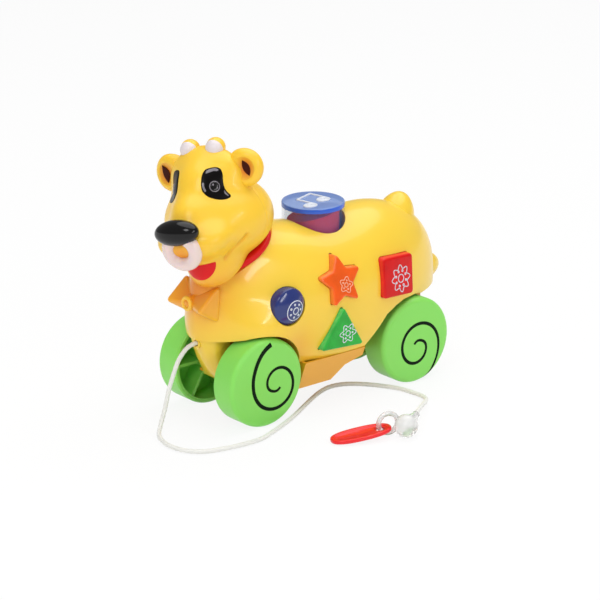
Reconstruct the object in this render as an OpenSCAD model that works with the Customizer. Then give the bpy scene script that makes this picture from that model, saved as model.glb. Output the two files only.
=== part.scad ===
// Musical pull-along cow: an egg-shaped body in two halves on a chassis with four wheels,
// a turning head on a tilted collar, press buttons, a music drum and a pull cord.
// The cow faces -X, its left side is -Y, +Z is up and it stands on z = 0.

/* [Body] */
// Length of the egg-shaped body
body_length = 198; // [192:1:206]
// Width of the body at its widest level
body_width = 84; // [82:1:92]
// Height of the widest level
mid_z = 66; // [64:1:70]
// Height of the back at the saddle
back_z = 117.5; // [116:0.5:121]
// Height of the rump
rump_z = 119.5; // [117:0.5:124]
// Height of the lower edge of the side walls
side_z = 35; // [33:1:38]
// Wall of the two body halves
wall = 2.2; // [1.6:0.1:2.6]
// Diameter of the screw posts inside the body
post_d = 8; // [7:0.5:9]

/* [Wheels] */
// Diameter of a wheel
wheel_d = 58; // [55:1:60]
// Width of a wheel
wheel_w = 19; // [16:1:20]
// Distance between the axles
wheelbase = 126.2; // [122:0.2:130]
// Width over the outer faces of the wheels
track_w = 76.6; // [75:0.2:80]
// Diameter of the steel axles
axle_d = 4; // [3:0.5:5]
// Room between a wheel and its arch
arch_gap = 2; // [2:0.5:4]
// Wall of the wheel rim and of its face
rim_wall = 3; // [2:0.5:4]

/* [Head] */
// Distance of the collar's centre ahead of the middle of the wheelbase
neck_ahead = 57.5; // [56:0.5:59]
// Height of the collar's centre
neck_z = 108.5; // [107:0.5:110]
// Forward tilt of the neck
neck_tilt = 30; // [28:1:32]
// Turn of the head to its left
head_turn = 24; // [-30:1:34]
// Diameter of the collar
collar_d = 50; // [46:1:54]
// Thickness of the collar
collar_t = 4.5; // [4:0.5:5]
// Diameter of the neck pivot
pivot_d = 12; // [10:1:16]
// Wall of the head
head_wall = 2; // [1.5:0.1:2.5]
// Diameter of an ear
ear_d = 25; // [20:1:30]
// Thickness of an ear
ear_t = 9; // [7:0.5:11]
// Diameter of a horn
horn_d = 12.5; // [11:0.5:15]
// Width of the nose
nose_w = 31; // [26:1:34]
// Height of the nose
nose_h = 16.5; // [14:0.5:19]
// Outer diameter of the nose ring
nose_ring_d = 27; // [23:1:31]
// Thickness of the nose ring
nose_ring_t = 8.5; // [6:0.5:10]

/* [Buttons] */
// Diameter of the round button
round_d = 24; // [22:1:26]
// Distance from the centre to the tips of the star button
star_r = 17.5; // [16:0.5:19]
// Base of the triangle button
triangle_w = 35; // [32:1:38]
// Height of the triangle button
triangle_h = 27; // [24:1:28]
// Width of the square button
square_w = 29; // [26:1:30]
// Height of the square button
square_h = 26; // [24:0.5:28]
// How far the buttons stand out of the body
button_proud = 3; // [2:0.5:5]
// Travel of the buttons
button_travel = 2; // [1:0.5:2.5]

/* [Music drum] */
// Diameter of the drum
drum_d = 41; // [37:1:42]
// Height of the top of the drum
drum_top = 127.8; // [127:0.2:131]
// Distance of the drum behind the middle of the wheelbase
drum_back = 6.4; // [4:0.2:9]
// Thickness of the cap
cap_t = 2.8; // [2:0.2:4]
// Wall of the clear drum
drum_wall = 1.8; // [1.4:0.1:2.4]
// Travel of the drum
drum_travel = 3; // [1:0.5:3.5]

/* [Battery box] */
// Diameter of a battery cell
cell_d = 10.5; // [10:0.1:10.8]
// Length of a battery cell
cell_l = 44.5; // [43:0.5:46]
// Height of the underside of the battery box
belly_z = 15.5; // [14:0.5:16.5]
// Thickness of the battery door
door_t = 2; // [1.5:0.1:2.5]
// Wall of the chassis
tray_wall = 2; // [1.6:0.1:2.4]

/* [Pull cord] */
// Diameter of the cord
cord_d = 3; // [2.5:0.1:3.5]
// Length of the pull tab
tab_l = 40.5; // [38:0.5:44]
// Width of the pull tab
tab_w = 18; // [16:1:20]
// Thickness of the pull tab
tab_t = 2.6; // [2.2:0.1:3]
// Diameter of the ball on the cord's end
ball_d = 15; // [14:0.5:16]

/* [Fits] */
// Room around a turning shaft, on the radius
shaft_fit = 0.05; // [0.02:0.01:0.1]
// Room between pieces that move past each other
gap = 0.3; // [0.2:0.05:0.4]
// Room around a piece that is fixed in its seat
seat_fit = 0.05; // [0.02:0.01:0.1]

/* [Hidden] */
$fn = 48;
far = 300;

// The origin is below the middle of the whole cow
origin_x = 5.9;
origin_y = 2.2;

// Egg of the body, measured from the middle of the wheelbase
body_back = 6;
front_x = body_back - body_length / 2;
rear_x = body_back + body_length / 2;
end_half = 6;
crest_x = -neck_ahead;
crest_rise = 16.5;
crest_z = neck_z + crest_rise;
saddle_x = 0;
rump_x = 45;
low_z = 15;
crest_power = 2.2;
upper_power = 2;
lower_power = 2.6;
front_low_power = 1.8;
rear_low_power = 3;
flare = 8;
flare_long = 34;
flare_high = 26;
stations = 24;
levels = 14;

// Screws that hold the two halves together, along X and Z
shell_screw_at = [[front_x + 17, 78], [rear_x - 31, 92], [rear_x - 17, 70]];
screw_d = 3;
screw_head_d = 5.6;
screw_head_t = 2;
screw_reach = 9;
post_wall = 3;

// Wheels and axles
axle_x = wheelbase / 2;
axle_z = wheel_d / 2;
wheel_out = track_w / 2;
wheel_in = wheel_out - wheel_w;
arch_r = wheel_d / 2 + arch_gap;
wheel_round = 2.5;
wheel_ribs = 6;
rib_t = 2;
hub_wall = 4;
hub_d = axle_d + 2 * hub_wall;
bush_wall = 2;
bush_d = axle_d + 2 * bush_wall;
bush_lip = 1.5;
bush_rim_d = bush_d + 2 * bush_lip;
bush_rim_t = 0.4;
well_out = wheel_in - bush_rim_t - gap;
well_in = well_out - tray_wall;
fender_z = axle_z + arch_r;
fender_slope = 10;
rear_edge_z = 58;

// Keel between the front wheels
keel_half = 13;
keel_top = 60;
keel_low = 24;
keel_nose = front_x + 2.2;
keel_reach = 17;
keel_power = 1.5;
keel_back = front_x + 19;
keel_round = 9;
keel_rows = 10;
keel_steps = 6;
keel_wall = 2.4;
keel_core_x = front_x + 15;
keel_core_z = 33;
cord_room = 0.3;
// The cord's hole keeps an edge of the keel above it
hole_edge = 1;
hole_z = 52;
lip_z = fender_z - gap - (-axle_x - keel_nose) * tan(fender_slope);
cord_hole_z = min(hole_z, lip_z - hole_edge - cord_room - cord_d / 2);
knot_r = 4.5;
knot_in = 7;
knot_x = front_x + knot_in;
axle_room = 1;

// Chassis and battery box
pan_z = 24.7;
tray_front = -axle_x + arch_r + 1;
tray_back = 19;
tray_rise = 4;
tray_half_top = 37.6;
tray_half_low = 30;
tray_top = side_z - seat_fit;
cell_gap = 0.8;
contact_t = 0.5;
contact_half = 4;
box_front = tray_front + tray_wall;
box_back = box_front + 2 * cell_d + 3 * cell_gap;
box_half = cell_l / 2 + contact_t + seat_fit;
box_top = belly_z + door_t + cell_d + 2 * cell_gap;
step_len = 11;
door_room = 0.2;
door_screw_x = (box_front + box_back) / 2;
door_boss_d = 6.5;
door_screw_y = box_half + 3.1;
door_tab_half = 4.2;
door_tab_end = box_half + 6.4;
door_head_t = 1.2;
door_reach = 8;
well_top = 60;
well_lead = 1.4;
well_front = -axle_x - bush_rim_d / 2 - well_lead;
well_rear = rear_x - 21;
floor_rear = rear_x - 7;
floor_half = 9;
board_post = 4;
board_post_z = 58;

// Speaker, circuit board and power switch
speaker_x = 46.5;
speaker_d = 26;
speaker_rim = 2.5;
speaker_depth = 9;
magnet_d = 16;
grille_d = 3;
grille_r = 8;
circuit_z = 44;
circuit_t = 1.6;
circuit_x = -12;
circuit_l = 34;
circuit_w = 30;
switch_x = 26;
switch_travel = 4;
knob_l = 3.5;
knob_w = 5;
knob_plate = 1.5;
knob_edge = 2;
switch_wall = 1.5;

// Neck and head; head places are measured from the collar's centre with the head straight
neck = [-neck_ahead, 0, neck_z];
neck_axis = [-sin(neck_tilt), 0, cos(neck_tilt)];
jaw_h = collar_t + gap;
base_t = 2;
washer_d = 20;
washer_t = 2;
neck_screw_reach = 7;
head_seam = -12;
head_mid = [head_seam, 0, 22];
head_rings = 10;
head_segs = 28;
swell_blend = 4;
search_steps = 18;
search_reach = 90;
// Each swelling of the head: its centre and its half sizes
head_swells = [
    [[-27, 0, 46], [16, 16, 17]],
    [[-18.4, 0, 51], [13.6, 26.4, 19.7]],
    [[-13, 0, 23], [35, 34.4, 27]],
    [[-38, 0, 30], [20, 14, 15]],
    [[-47, 0, 15.6], [17, 25, 12.2]],
    [[-26.6, 0, -3.7], [20, 17, 15.9]]
];
ear_at = [-16.5, 27, 54];
ear_yaw = 15;
horn_at = [-18, 9.4, 68.4];
eye_at = [-34.5, 14.7, 48];
eye_yaw = 50;
eye_pitch = 15;
eye_deep = 12;
// Outline of an eye, outward and up from its middle
eye_outline = [
    [0, 11], [4, 10.5], [6.3, 8.5], [6.7, 5], [6, 1], [6, -3.5], [7, -6.5], [8.6, -9.5], [6.5, -11],
    [2, -11], [-2.5, -9.5], [-6.5, -7], [-8.8, -3.5], [-9, 0], [-8, 4], [-6.2, 7.8], [-3.5, 10.4]
];
patch_proud = 0.5;
nose_at = [-63, 0, 24.4];
nose_ring_at = [-60.5, 0, 12.5];
nose_ring_pitch = -15;
mouth_at = [-30, 0, -4];
mouth_w = 23;
mouth_h = 10;
mouth_deep = 30;

// Music drum
drum_r = drum_d / 2;
drum_h = 30;
drum_low = drum_top - drum_h;
drum_floor = 2;
well_wall = 1.8;
well_room = 5;
well_floor = drum_low - drum_travel - well_room;
switch_pad_r = 4;
lamp_d = 4;
lamp_h = 3;
lamp_ring_r = 10;
insert_h = 20;
insert_floor = 1.5;
insert_core_r = 4;
insert_fins = 6;
fin_t = 1.6;
fin_room = 2;

// Buttons, each with its place along X and Z
round_at = [-44.5, 76.3];
star_at = [-4, 85.3];
triangle_at = [-4, 55.1];
square_at = [44.8, 78.3];
star_waist = 0.5;
star_roll = 4;
triangle_roll = -3;
square_roll = -5;
face_lean = 0.85;
dome_r = 20;
round_flange_r = 13.8;
star_flange_r = 11.5;
triangle_flange_r = 13;
square_flange_r = 15.5;
round_flange_y = 28.2;
flange_y = 30;
square_flange_y = 28.6;
flange_t = 1.5;
board_y = 23.6;
board_t = 1.6;
board_top = well_floor - gap;
board_outline = [
    [-58, 66], [-58, 84], [-50, board_top], [54, board_top], [58, 84], [58, 66],
    [24, 64], [14, 42], [-18, 42], [-24, 64]
];
pad_r = 3.5;

// Tail, bumper and bow tie; each _in is a distance in from the body's end
tail_in = 28;
tail_z = 103;
tail_at = [rear_x - tail_in, 0, tail_z];
tail_lean = 22;
tail_r = 13;
tail_h = 17;
bumper_in = 7;
bumper_z = 64;
bumper_at = [rear_x - bumper_in, 0, bumper_z];
bumper_r = 11;
bumper_h = 17;
bow_span = 15.5;
bow_knot_in = 0.5;
bow_knot_z = 80;
bow_knot = [front_x + bow_knot_in, 0, bow_knot_z];
bow_knot_r = 5;
bow_top_in = 8;
bow_top_z = 90;
bow_tip_out = 5;
bow_tip_z = 79;
bow_low_in = 7;
bow_low_z = 71.5;
bow_end = [
    [front_x + bow_top_in, bow_top_z],
    [front_x - bow_tip_out, bow_tip_z],
    [front_x + bow_low_in, bow_low_z]
];
bow_round = 2;
bow_back_in = 11;
bow_back_x = front_x + bow_back_in;

// Cord: points along its way from the chest to the ball, chosen by hand
cord_route = [
    [knot_x, 0, cord_hole_z], [front_x + 1, 0, cord_hole_z], [front_x - 5, 0, 50], [front_x - 11, 0, 44],
    [front_x - 16, -1, 36], [front_x - 20, -1, 26], [front_x - 24, -2, 15], [front_x - 29, -4, 6],
    [front_x - 35, -10, 2.2], [front_x - 39, -20, 1.7], [front_x - 40, -30, 1.7], [front_x - 37, -41, 1.7],
    [front_x - 29, -49, 1.7], [front_x - 17, -53, 1.7], [front_x - 3, -55, 1.7],
    [-82, -55, 1.7], [-68, -50, 1.7], [-54, -44, 1.7], [-40, -37, 1.7],
    [-26, -29, 1.7], [-12, -21, 1.7], [0, -15, 1.7],
    [11, -12, 1.7], [21, -14, 1.7], [30, -21, 1.7], [38, -32, 1.7], [44, -44, 1.7],
    [46, -57, 1.7], [46, -64, 1.8], [42.5, -71, 3], [35, -78.5, 5], [27, -84.8, 6.8], [19, -91, 8.3],
    [13, -95.7, 9.1], [7.4, -100.2, 9.5]
];
cord_sides = 8;
cord_fine = 2;
ball_at = [-7.3, -107.4, 7.5];
ball_neck = 16.5;
ball_turn = 26;
ball_rise = 7;
ball_neck_r = 2.4;
loop_r = 6.4;
loop_t = 3.2;
loop_z = 8.1;
loop_turn = 161;
loop_at = [-14, -97.7, loop_z];
tab_end = 2;
tab_tilt = 5.9;
tab_room = 0.7;
tab_low = loop_z - loop_r + loop_t / 2 + tab_room;
tab_power = 2.4;
tab_rim = 3;
tab_dish = 0.8;
tab_hole_at = 5.4;
tab_hole_d = 6.4;

// Forms of the egg at a place u from -1 to 1 along it
function ease(a, b, t) = a + (b - a) * (1 - cos(180 * t)) / 2;
function dome(t, p) = pow(max(0, 1 - pow(abs(t), p)), 1 / p);
function egg_x(u, inset) = body_back + (body_length / 2 - inset) * u;
function egg_half(u, inset) = (body_width / 2 - inset) * dome(u, 2);
function egg_top(u) =
    let (x = egg_x(u, 0), front = egg_x(-1, 0), rear = egg_x(1, 0), end = mid_z + end_half)
    x < crest_x ? end + (crest_z - end) * dome((crest_x - x) / (crest_x - front), crest_power)
    : x < saddle_x ? ease(crest_z, back_z, (x - crest_x) / (saddle_x - crest_x))
    : x < rump_x ? ease(back_z, rump_z, (x - saddle_x) / (rump_x - saddle_x))
    : end + (rump_z - end) * dome((x - rump_x) / (rear - rump_x), 2);
function egg_low(u) =
    mid_z - end_half - (mid_z - end_half - low_z) * dome(u, u < 0 ? front_low_power : rear_low_power);
// Swelling of the side above a front wheel
function bump(t) = pow(max(0, 1 - t * t), 2);
function flare_at(x, z) = flare * bump((x + axle_x) / flare_long) * bump((z - fender_z) / flare_high);
function egg_point(u, a, inset) =
    let (p = a >= 0 ? upper_power : lower_power)
    let (h = a >= 0 ? egg_top(u) - inset - mid_z : mid_z - egg_low(u) - inset)
    let (x = egg_x(u, inset), z = mid_z + sign(a) * h * pow(abs(sin(a)), 2 / p))
    let (side = pow(abs(cos(a)), 2 / p))
    [x, (egg_half(u, inset) + flare_at(x, z) * sqrt(dome(u, 2))) * side, z];
function egg_skin(inset) = [
    for (i = [0 : stations]) for (j = [0 : levels])
        egg_point(-cos(180 * i / stations), 90 - 180 * j / levels, inset)
];
// Distance of the body's surface from the middle plane at a place along X and Z
function side_y(x, z) =
    let (u = (x - body_back) / (body_length / 2))
    let (p = z >= mid_z ? upper_power : lower_power)
    let (h = z >= mid_z ? egg_top(u) - mid_z : mid_z - egg_low(u))
    (egg_half(u, 0) + flare_at(x, z) * sqrt(dome(u, 2))) * dome((z - mid_z) / h, p);
function lean_x(at) = atan2(side_y(at.x + 1, at.y) - side_y(at.x - 1, at.y), 2);
function lean_z(at) = atan2(side_y(at.x, at.y + 1) - side_y(at.x, at.y - 1), 2);

// Triangles for an open grid of points, and for the strip between two rows
function grid_faces(rows, cols, first, turned) = [
    for (i = [0 : rows - 2]) for (j = [0 : cols - 2])
        let (a = first + i * cols + j, b = a + 1, c = a + cols, d = c + 1)
        let (falling = (2 * i < rows - 1) == (2 * j < cols - 1))
        let (pair = falling ? [[a, b, d], [a, d, c]] : [[a, b, c], [b, d, c]])
        each turned ? [for (t = pair) [t[0], t[2], t[1]]] : pair
];
function strip_faces(a, b) = [
    for (k = [0 : len(a) - 2]) each [[a[k], a[k + 1], b[k + 1]], [a[k], b[k + 1], b[k]]]
];
function fan_faces(tip, row, turned) = [
    for (k = [0 : len(row) - 2]) turned ? [tip, row[k + 1], row[k]] : [tip, row[k], row[k + 1]]
];

// Half of the egg on the +Y side as a thin wall
module egg_wall() {
    rows = stations + 1;
    cols = levels + 1;
    n = rows * cols;
    top = [for (i = [0 : stations]) i * cols];
    low = [for (i = [stations : -1 : 0]) i * cols + levels];
    rear = [for (j = [0 : levels]) stations * cols + j];
    front = [for (j = [levels : -1 : 0]) j];
    rim = [for (edge = [top, rear, low, front]) each strip_faces(edge, [for (k = edge) k + n])];
    polyhedron(
        concat(egg_skin(0), egg_skin(wall)),
        concat(grid_faces(rows, cols, 0, false), grid_faces(rows, cols, n, true), rim)
    );
}

// Half of the egg on the +Y side as a full solid
module egg_full(inset) {
    rows = stations + 1;
    cols = levels + 1;
    last = stations * cols;
    front = [for (j = [0 : levels]) j];
    rear = [for (j = [0 : levels]) last + j];
    middle = [
        for (i = [1 : stations - 2])
            let (a = i * cols, b = a + levels, c = a + cols, d = c + levels)
            each [[a, d, b], [a, c, d]]
    ];
    ends = concat(
        fan_faces(cols, front, true),
        [[cols, cols + levels, levels]],
        fan_faces(last - cols, rear, false),
        [[last - cols, last + levels, last - 1]]
    );
    polyhedron(egg_skin(inset), concat(grid_faces(rows, cols, 0, false), middle, ends));
}

module both_sides() {
    children();
    mirror([0, 1, 0]) children();
}

module egg_solid(inset) {
    both_sides() egg_full(inset);
}

module in_neck() {
    translate(neck) rotate([0, -neck_tilt, 0]) children();
}

// Turns a flat outline in X and Z into a prism from y = -from to y = -to
module side_prism(from, to) {
    translate([0, -from, 0]) rotate([90, 0, 0]) linear_extrude(to - from) children();
}

// All that is cut from both halves: floor, arches, fenders, neck and drum hole
module body_cuts() {
    translate([-far, -far, side_z - far]) cube([2 * far, 2 * far, far]);
    for (x = [-axle_x, axle_x])
        translate([x, -far, axle_z]) rotate([-90, 0, 0]) cylinder(h = 2 * far, r = arch_r);
    translate([-axle_x, -far, fender_z]) rotate([0, -fender_slope, 0])
        translate([-far, 0, -far]) cube([far, 2 * far, far]);
    translate([axle_x, -far, rear_edge_z - far]) cube([far, 2 * far, far]);
    side_prism(-far, far) polygon([
        [axle_x, side_z - far], [axle_x, fender_z], [axle_x - 10, fender_z], [axle_x - 18, fender_z - 2],
        [axle_x - 27, fender_z - 6], [axle_x - 42, side_z + 3],
        [tray_back, side_z], [tray_back, side_z - far]
    ]);
    in_neck() translate([-collar_d / 2 - wall, -far, 0]) cube([collar_d + 2 * wall, 2 * far, far]);
    in_neck() translate([-far, -far, jaw_h - gap]) cube([far, 2 * far, far]);
    translate([drum_back, 0, mid_z]) cylinder(h = far, r = drum_r + gap);
}

module body_half() {
    difference() {
        union() {
            egg_wall();
            intersection() {
                for (at = shell_screw_at)
                    translate([at.x, 0, at.y]) rotate([-90, 0, 0]) cylinder(h = far, d = post_d);
                egg_full(wall / 2);
            }
        }
        body_cuts();
    }
}

module body_left_shell() {
    color("gold") difference() {
        mirror([0, 1, 0]) body_half();
        for (at = shell_screw_at)
            translate([at.x, 0, at.y]) rotate([90, 0, 0])
                translate([0, 0, -1]) cylinder(h = screw_reach + 2, r = screw_d / 2 + seat_fit);
        side_prism(board_y, far) round_outline(gap);
        side_prism(board_y, far) star_outline(gap);
        side_prism(board_y, far) triangle_outline(gap);
        side_prism(board_y, far) square_outline(gap);
    }
}

module body_right_shell() {
    color("gold") difference() {
        body_half();
        for (at = shell_screw_at)
            translate([at.x, 0, at.y]) rotate([-90, 0, 0]) {
                translate([0, 0, -1]) cylinder(h = far, r = screw_d / 2 + seat_fit);
                translate([0, 0, post_wall]) cylinder(h = far, r = screw_head_d / 2 + seat_fit);
            }
    }
}

module screw(reach) {
    cylinder(h = reach, d = screw_d);
    translate([0, 0, -screw_head_t]) cylinder(h = screw_head_t, d = screw_head_d);
}

module shell_screws() {
    color("silver") for (at = shell_screw_at)
        translate([at.x, post_wall, at.y]) rotate([90, 0, 0]) screw(post_wall + screw_reach);
}

// Place of the keel's front at a height
function keel_front(z) =
    keel_nose + keel_reach * (1 - dome((keel_top - z) / (keel_top - keel_low), keel_power));
function keel_row(z) =
    let (x = keel_front(z), depth = min(keel_round, keel_back - x), turn = 90 / keel_steps)
    concat(
        [for (k = [0 : keel_steps]) [x + depth * (1 - sin(turn * k)), -keel_half * cos(turn * k), z]],
        [for (k = [keel_steps - 1 : -1 : 0]) [x + depth * (1 - sin(turn * k)), keel_half * cos(turn * k), z]],
        [[keel_back + 1, keel_half, z], [keel_back + 1, -keel_half, z]]
    );

module keel_form() {
    n = 2 * keel_steps + 3;
    span = keel_top - keel_low;
    points = [for (i = [0 : keel_rows]) each keel_row(keel_low + span * (1 - cos(90 * i / keel_rows)))];
    sides = [
        for (i = [0 : keel_rows - 1]) for (j = [0 : n - 1])
            let (a = i * n + j, b = i * n + (j + 1) % n, c = a + n, d = b + n)
            each [[a, b, d], [a, d, c]]
    ];
    bottom = [for (j = [1 : n - 2]) [0, j + 1, j]];
    top = [for (j = [1 : n - 2]) [keel_rows * n, keel_rows * n + j, keel_rows * n + j + 1]];
    polyhedron(points, concat(sides, bottom, top));
}

module keel() {
    inner = keel_half - keel_wall;
    color("gold") difference() {
        keel_form();
        translate([-axle_x, -far, fender_z - gap]) rotate([0, -fender_slope, 0])
            translate([-far, 0, 0]) cube([2 * far, 2 * far, far]);
        translate([knot_x, -knot_r - 1, cord_hole_z - knot_r - 1]) cube([far, 2 * knot_r + 2, far]);
        translate([keel_core_x, -inner, keel_core_z]) cube([far, 2 * inner, far]);
        translate([-far, 0, cord_hole_z]) rotate([0, 90, 0]) cylinder(h = far, r = cord_d / 2 + cord_room);
        translate([-axle_x, 0, axle_z]) rotate([90, 0, 0])
            cylinder(h = far, r = axle_d / 2 + axle_room, center = true);
    }
}

module bow_tie() {
    color("gold") difference() {
        union() {
            for (side = [-1, 1]) hull() {
                for (p = bow_end) translate([p.x, side * bow_span, p.y]) sphere(r = bow_round, $fn = 16);
                translate([bow_back_x, side * bow_span / 2, bow_knot.z]) sphere(r = bow_round, $fn = 16);
                translate(bow_knot) sphere(r = bow_knot_r - bow_round, $fn = 16);
            }
            translate(bow_knot - [bow_round, 0, 0]) sphere(r = bow_knot_r);
        }
        egg_solid(0);
    }
}

// A rounded cone standing on z = 0
module round_cone(r, h) {
    steps = 12;
    rotate_extrude() polygon(concat(
        [[0, 0]],
        [for (k = [0 : steps]) [r * cos(90 * k / steps), h * pow(sin(90 * k / steps), 1.3)]]
    ));
}

module tail() {
    color("gold") difference() {
        translate(tail_at) rotate([0, tail_lean, 0]) round_cone(tail_r, tail_h);
        egg_solid(0);
    }
}

module rear_bumper() {
    color("gold") difference() {
        translate(bumper_at) rotate([0, 90, 0]) round_cone(bumper_r, bumper_h);
        egg_solid(0);
    }
}

// Outer form of the tray below the side walls: its side view and its end view
module tray_block(inset) {
    intersection() {
        translate([0, far, 0]) rotate([90, 0, 0]) linear_extrude(2 * far) polygon([
            [tray_front + inset, tray_top], [tray_front + inset, belly_z + inset],
            [box_back + tray_wall - inset, belly_z + inset], [box_back + step_len - inset, pan_z + inset],
            [tray_back - inset, pan_z + tray_rise + inset], [tray_back - inset, tray_top]
        ]);
        translate([-far, 0, 0]) rotate([90, 0, 90]) linear_extrude(2 * far) polygon([
            [-tray_half_top + inset, tray_top], [-tray_half_low + inset, belly_z],
            [tray_half_low - inset, belly_z], [tray_half_top - inset, tray_top]
        ]);
    }
}

// Box of the battery cells, with its roof and the boss of the door's screw
module battery_box() {
    translate([tray_front, -box_half - tray_wall, belly_z])
        cube([box_back - tray_front + tray_wall, 2 * (box_half + tray_wall), box_top + tray_wall - belly_z]);
}

module well_plates() {
    both_sides() {
        translate([well_front, well_in, pan_z])
            cube([tray_front - well_front + tray_wall, tray_wall, well_top - pan_z]);
        translate([tray_back - 1, well_in, pan_z])
            cube([well_rear - tray_back + 1, tray_wall, rear_edge_z - gap - pan_z]);
    }
}

module chassis() {
    color("goldenrod") difference() {
        union() {
            difference() {
                tray_block(0);
                tray_block(tray_wall);
                translate([0, 0, tray_top - 1]) linear_extrude(2) polygon([
                    [tray_front + tray_wall, -tray_half_top + tray_wall],
                    [tray_back - tray_wall, -tray_half_top + tray_wall],
                    [tray_back - tray_wall, tray_half_top - tray_wall],
                    [tray_front + tray_wall, tray_half_top - tray_wall]
                ]);
            }
            battery_box();
            well_plates();
            translate([keel_back + 1, -well_out, pan_z])
                cube([tray_front - keel_back, 2 * well_out, tray_wall]);
            translate([box_back + step_len - 1, -well_out, pan_z])
                cube([well_rear - box_back - step_len + 1, 2 * well_out, tray_wall]);
            translate([well_rear - tray_wall, -well_out, pan_z])
                cube([tray_wall, 2 * well_out, rear_edge_z - gap - pan_z]);
            translate([0, 0, rear_edge_z - gap - tray_wall]) linear_extrude(tray_wall) polygon([
                [well_rear - 1, -well_out], [floor_rear, -floor_half],
                [floor_rear, floor_half], [well_rear - 1, well_out]
            ]);
            for (x = [-board_post * 3, board_post * 2])
                translate([x, -board_y + board_t, pan_z + 1])
                    cube([board_post, board_post, board_post_z - pan_z]);
            for (x = [-1, 1]) for (y = [-1, 1])
                translate([
                    circuit_x + x * (circuit_l / 2 - board_post), y * (circuit_w / 2 - board_post), pan_z + 1
                ])
                    cylinder(h = circuit_z - pan_z - 1, d = board_post);
            translate([door_screw_x, door_screw_y, belly_z + door_t - 1])
                cylinder(h = box_top - belly_z - door_t + 1, d = door_boss_d);
        }
        translate([box_front, -box_half, belly_z - 1])
            cube([box_back - box_front, 2 * box_half, box_top - belly_z + 1]);
        translate([door_screw_x - door_tab_half, 0, belly_z - 1])
            cube([2 * door_tab_half, door_tab_end, door_t + 1]);
        translate([door_screw_x, door_screw_y, belly_z])
            cylinder(h = door_t + door_reach, r = screw_d / 2 + seat_fit);
        for (x = [-axle_x, axle_x])
            translate([x, -far, axle_z]) rotate([-90, 0, 0]) cylinder(h = 2 * far, r = bush_d / 2 + seat_fit);
        for (k = [0 : 5]) translate([speaker_x, 0, 0]) rotate([0, 0, 60 * k]) translate([grille_r, 0, 0])
            cylinder(h = pan_z + 2 * tray_wall, d = grille_d);
        translate([speaker_x, 0, 0]) cylinder(h = pan_z + 2 * tray_wall, d = grille_d);
        translate([switch_x - knob_w / 2 - gap, -(knob_l + switch_travel) / 2 - gap, 0])
            cube([knob_w + 2 * gap, knob_l + switch_travel + 2 * gap, pan_z + 2 * tray_wall]);
    }
}

module axle_bushes() {
    color("white") for (x = [-axle_x, axle_x]) both_sides()
        translate([x, well_in, axle_z]) rotate([-90, 0, 0]) difference() {
            union() {
                cylinder(h = tray_wall, d = bush_d);
                translate([0, 0, tray_wall]) cylinder(h = bush_rim_t, d = bush_rim_d);
            }
            translate([0, 0, -1]) cylinder(h = far, r = axle_d / 2 + shaft_fit);
        }
}

module battery_door() {
    color("goldenrod") difference() {
        union() {
            translate([box_front + door_room, -box_half + door_room, belly_z])
                cube([box_back - box_front - 2 * door_room, 2 * (box_half - door_room), door_t]);
            translate([door_screw_x - door_tab_half + door_room, 0, belly_z])
                cube([2 * (door_tab_half - door_room), door_tab_end - door_room, door_t]);
        }
        translate([door_screw_x, door_screw_y, belly_z - 1]) cylinder(h = far, r = screw_d / 2 + seat_fit);
        translate([door_screw_x, door_screw_y, belly_z - 1])
            cylinder(h = door_head_t + 1, r = screw_head_d / 2 + seat_fit);
    }
}

module door_screw() {
    color("silver") translate([door_screw_x, door_screw_y, belly_z]) {
        cylinder(h = door_head_t, d = screw_head_d);
        cylinder(h = door_t + door_reach - 1, d = screw_d);
    }
}

module battery_cells() {
    color("dimgray") for (k = [0, 1])
        translate([
            box_front + cell_gap + cell_d / 2 + k * (cell_d + cell_gap), cell_l / 2,
            belly_z + door_t + cell_gap + cell_d / 2
        ]) rotate([90, 0, 0]) union() {
            cylinder(h = cell_l - 1, d = cell_d);
            cylinder(h = cell_l, d = cell_d / 3);
        }
}

module battery_contacts() {
    color("silver") for (k = [0, 1]) both_sides()
        translate([
            box_front + cell_gap + cell_d / 2 + k * (cell_d + cell_gap) - contact_half,
            box_half - contact_t, belly_z + door_t + cell_gap + cell_d / 2 - contact_half
        ]) cube([2 * contact_half, contact_t, 2 * contact_half]);
}

module circuit_board() {
    color("darkgreen") {
        translate([circuit_x - circuit_l / 2, -circuit_w / 2, circuit_z])
            cube([circuit_l, circuit_w, circuit_t]);
        translate([circuit_x, 0, circuit_z + circuit_t]) cylinder(h = 2, d = 12);
        translate([circuit_x - 12, -6, circuit_z + circuit_t]) cube([5, 8, 3]);
    }
}

module speaker() {
    color("dimgray") translate([speaker_x, 0, pan_z + tray_wall]) {
        cylinder(h = speaker_rim, d = speaker_d);
        translate([0, 0, speaker_rim])
            cylinder(h = speaker_depth - speaker_rim, d1 = speaker_d - 4, d2 = magnet_d);
    }
}

module switch_body() {
    room_l = knob_l + 2 * knob_edge + switch_travel + 2 * gap;
    room_w = knob_w + 2 * knob_edge + 2 * gap;
    room_h = knob_plate + 2 * gap;
    color("dimgray") translate([switch_x, 0, pan_z + tray_wall]) difference() {
        translate([-room_w / 2 - switch_wall, -room_l / 2 - switch_wall, 0])
            cube([room_w + 2 * switch_wall, room_l + 2 * switch_wall, room_h + switch_wall]);
        translate([-room_w / 2, -room_l / 2, -1]) cube([room_w, room_l, room_h + 1]);
    }
}

module switch_knob() {
    color("black") translate([switch_x, -switch_travel / 2, 0]) {
        translate([-knob_w / 2 - knob_edge, -knob_l / 2 - knob_edge, pan_z + tray_wall + gap])
            cube([knob_w + 2 * knob_edge, knob_l + 2 * knob_edge, knob_plate]);
        translate([-knob_w / 2, -knob_l / 2, pan_z - 1]) cube([knob_w, knob_l, tray_wall + gap + 2]);
    }
}

module button_board() {
    color("darkgreen") side_prism(board_y - board_t, board_y) polygon(board_outline);
}

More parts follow.
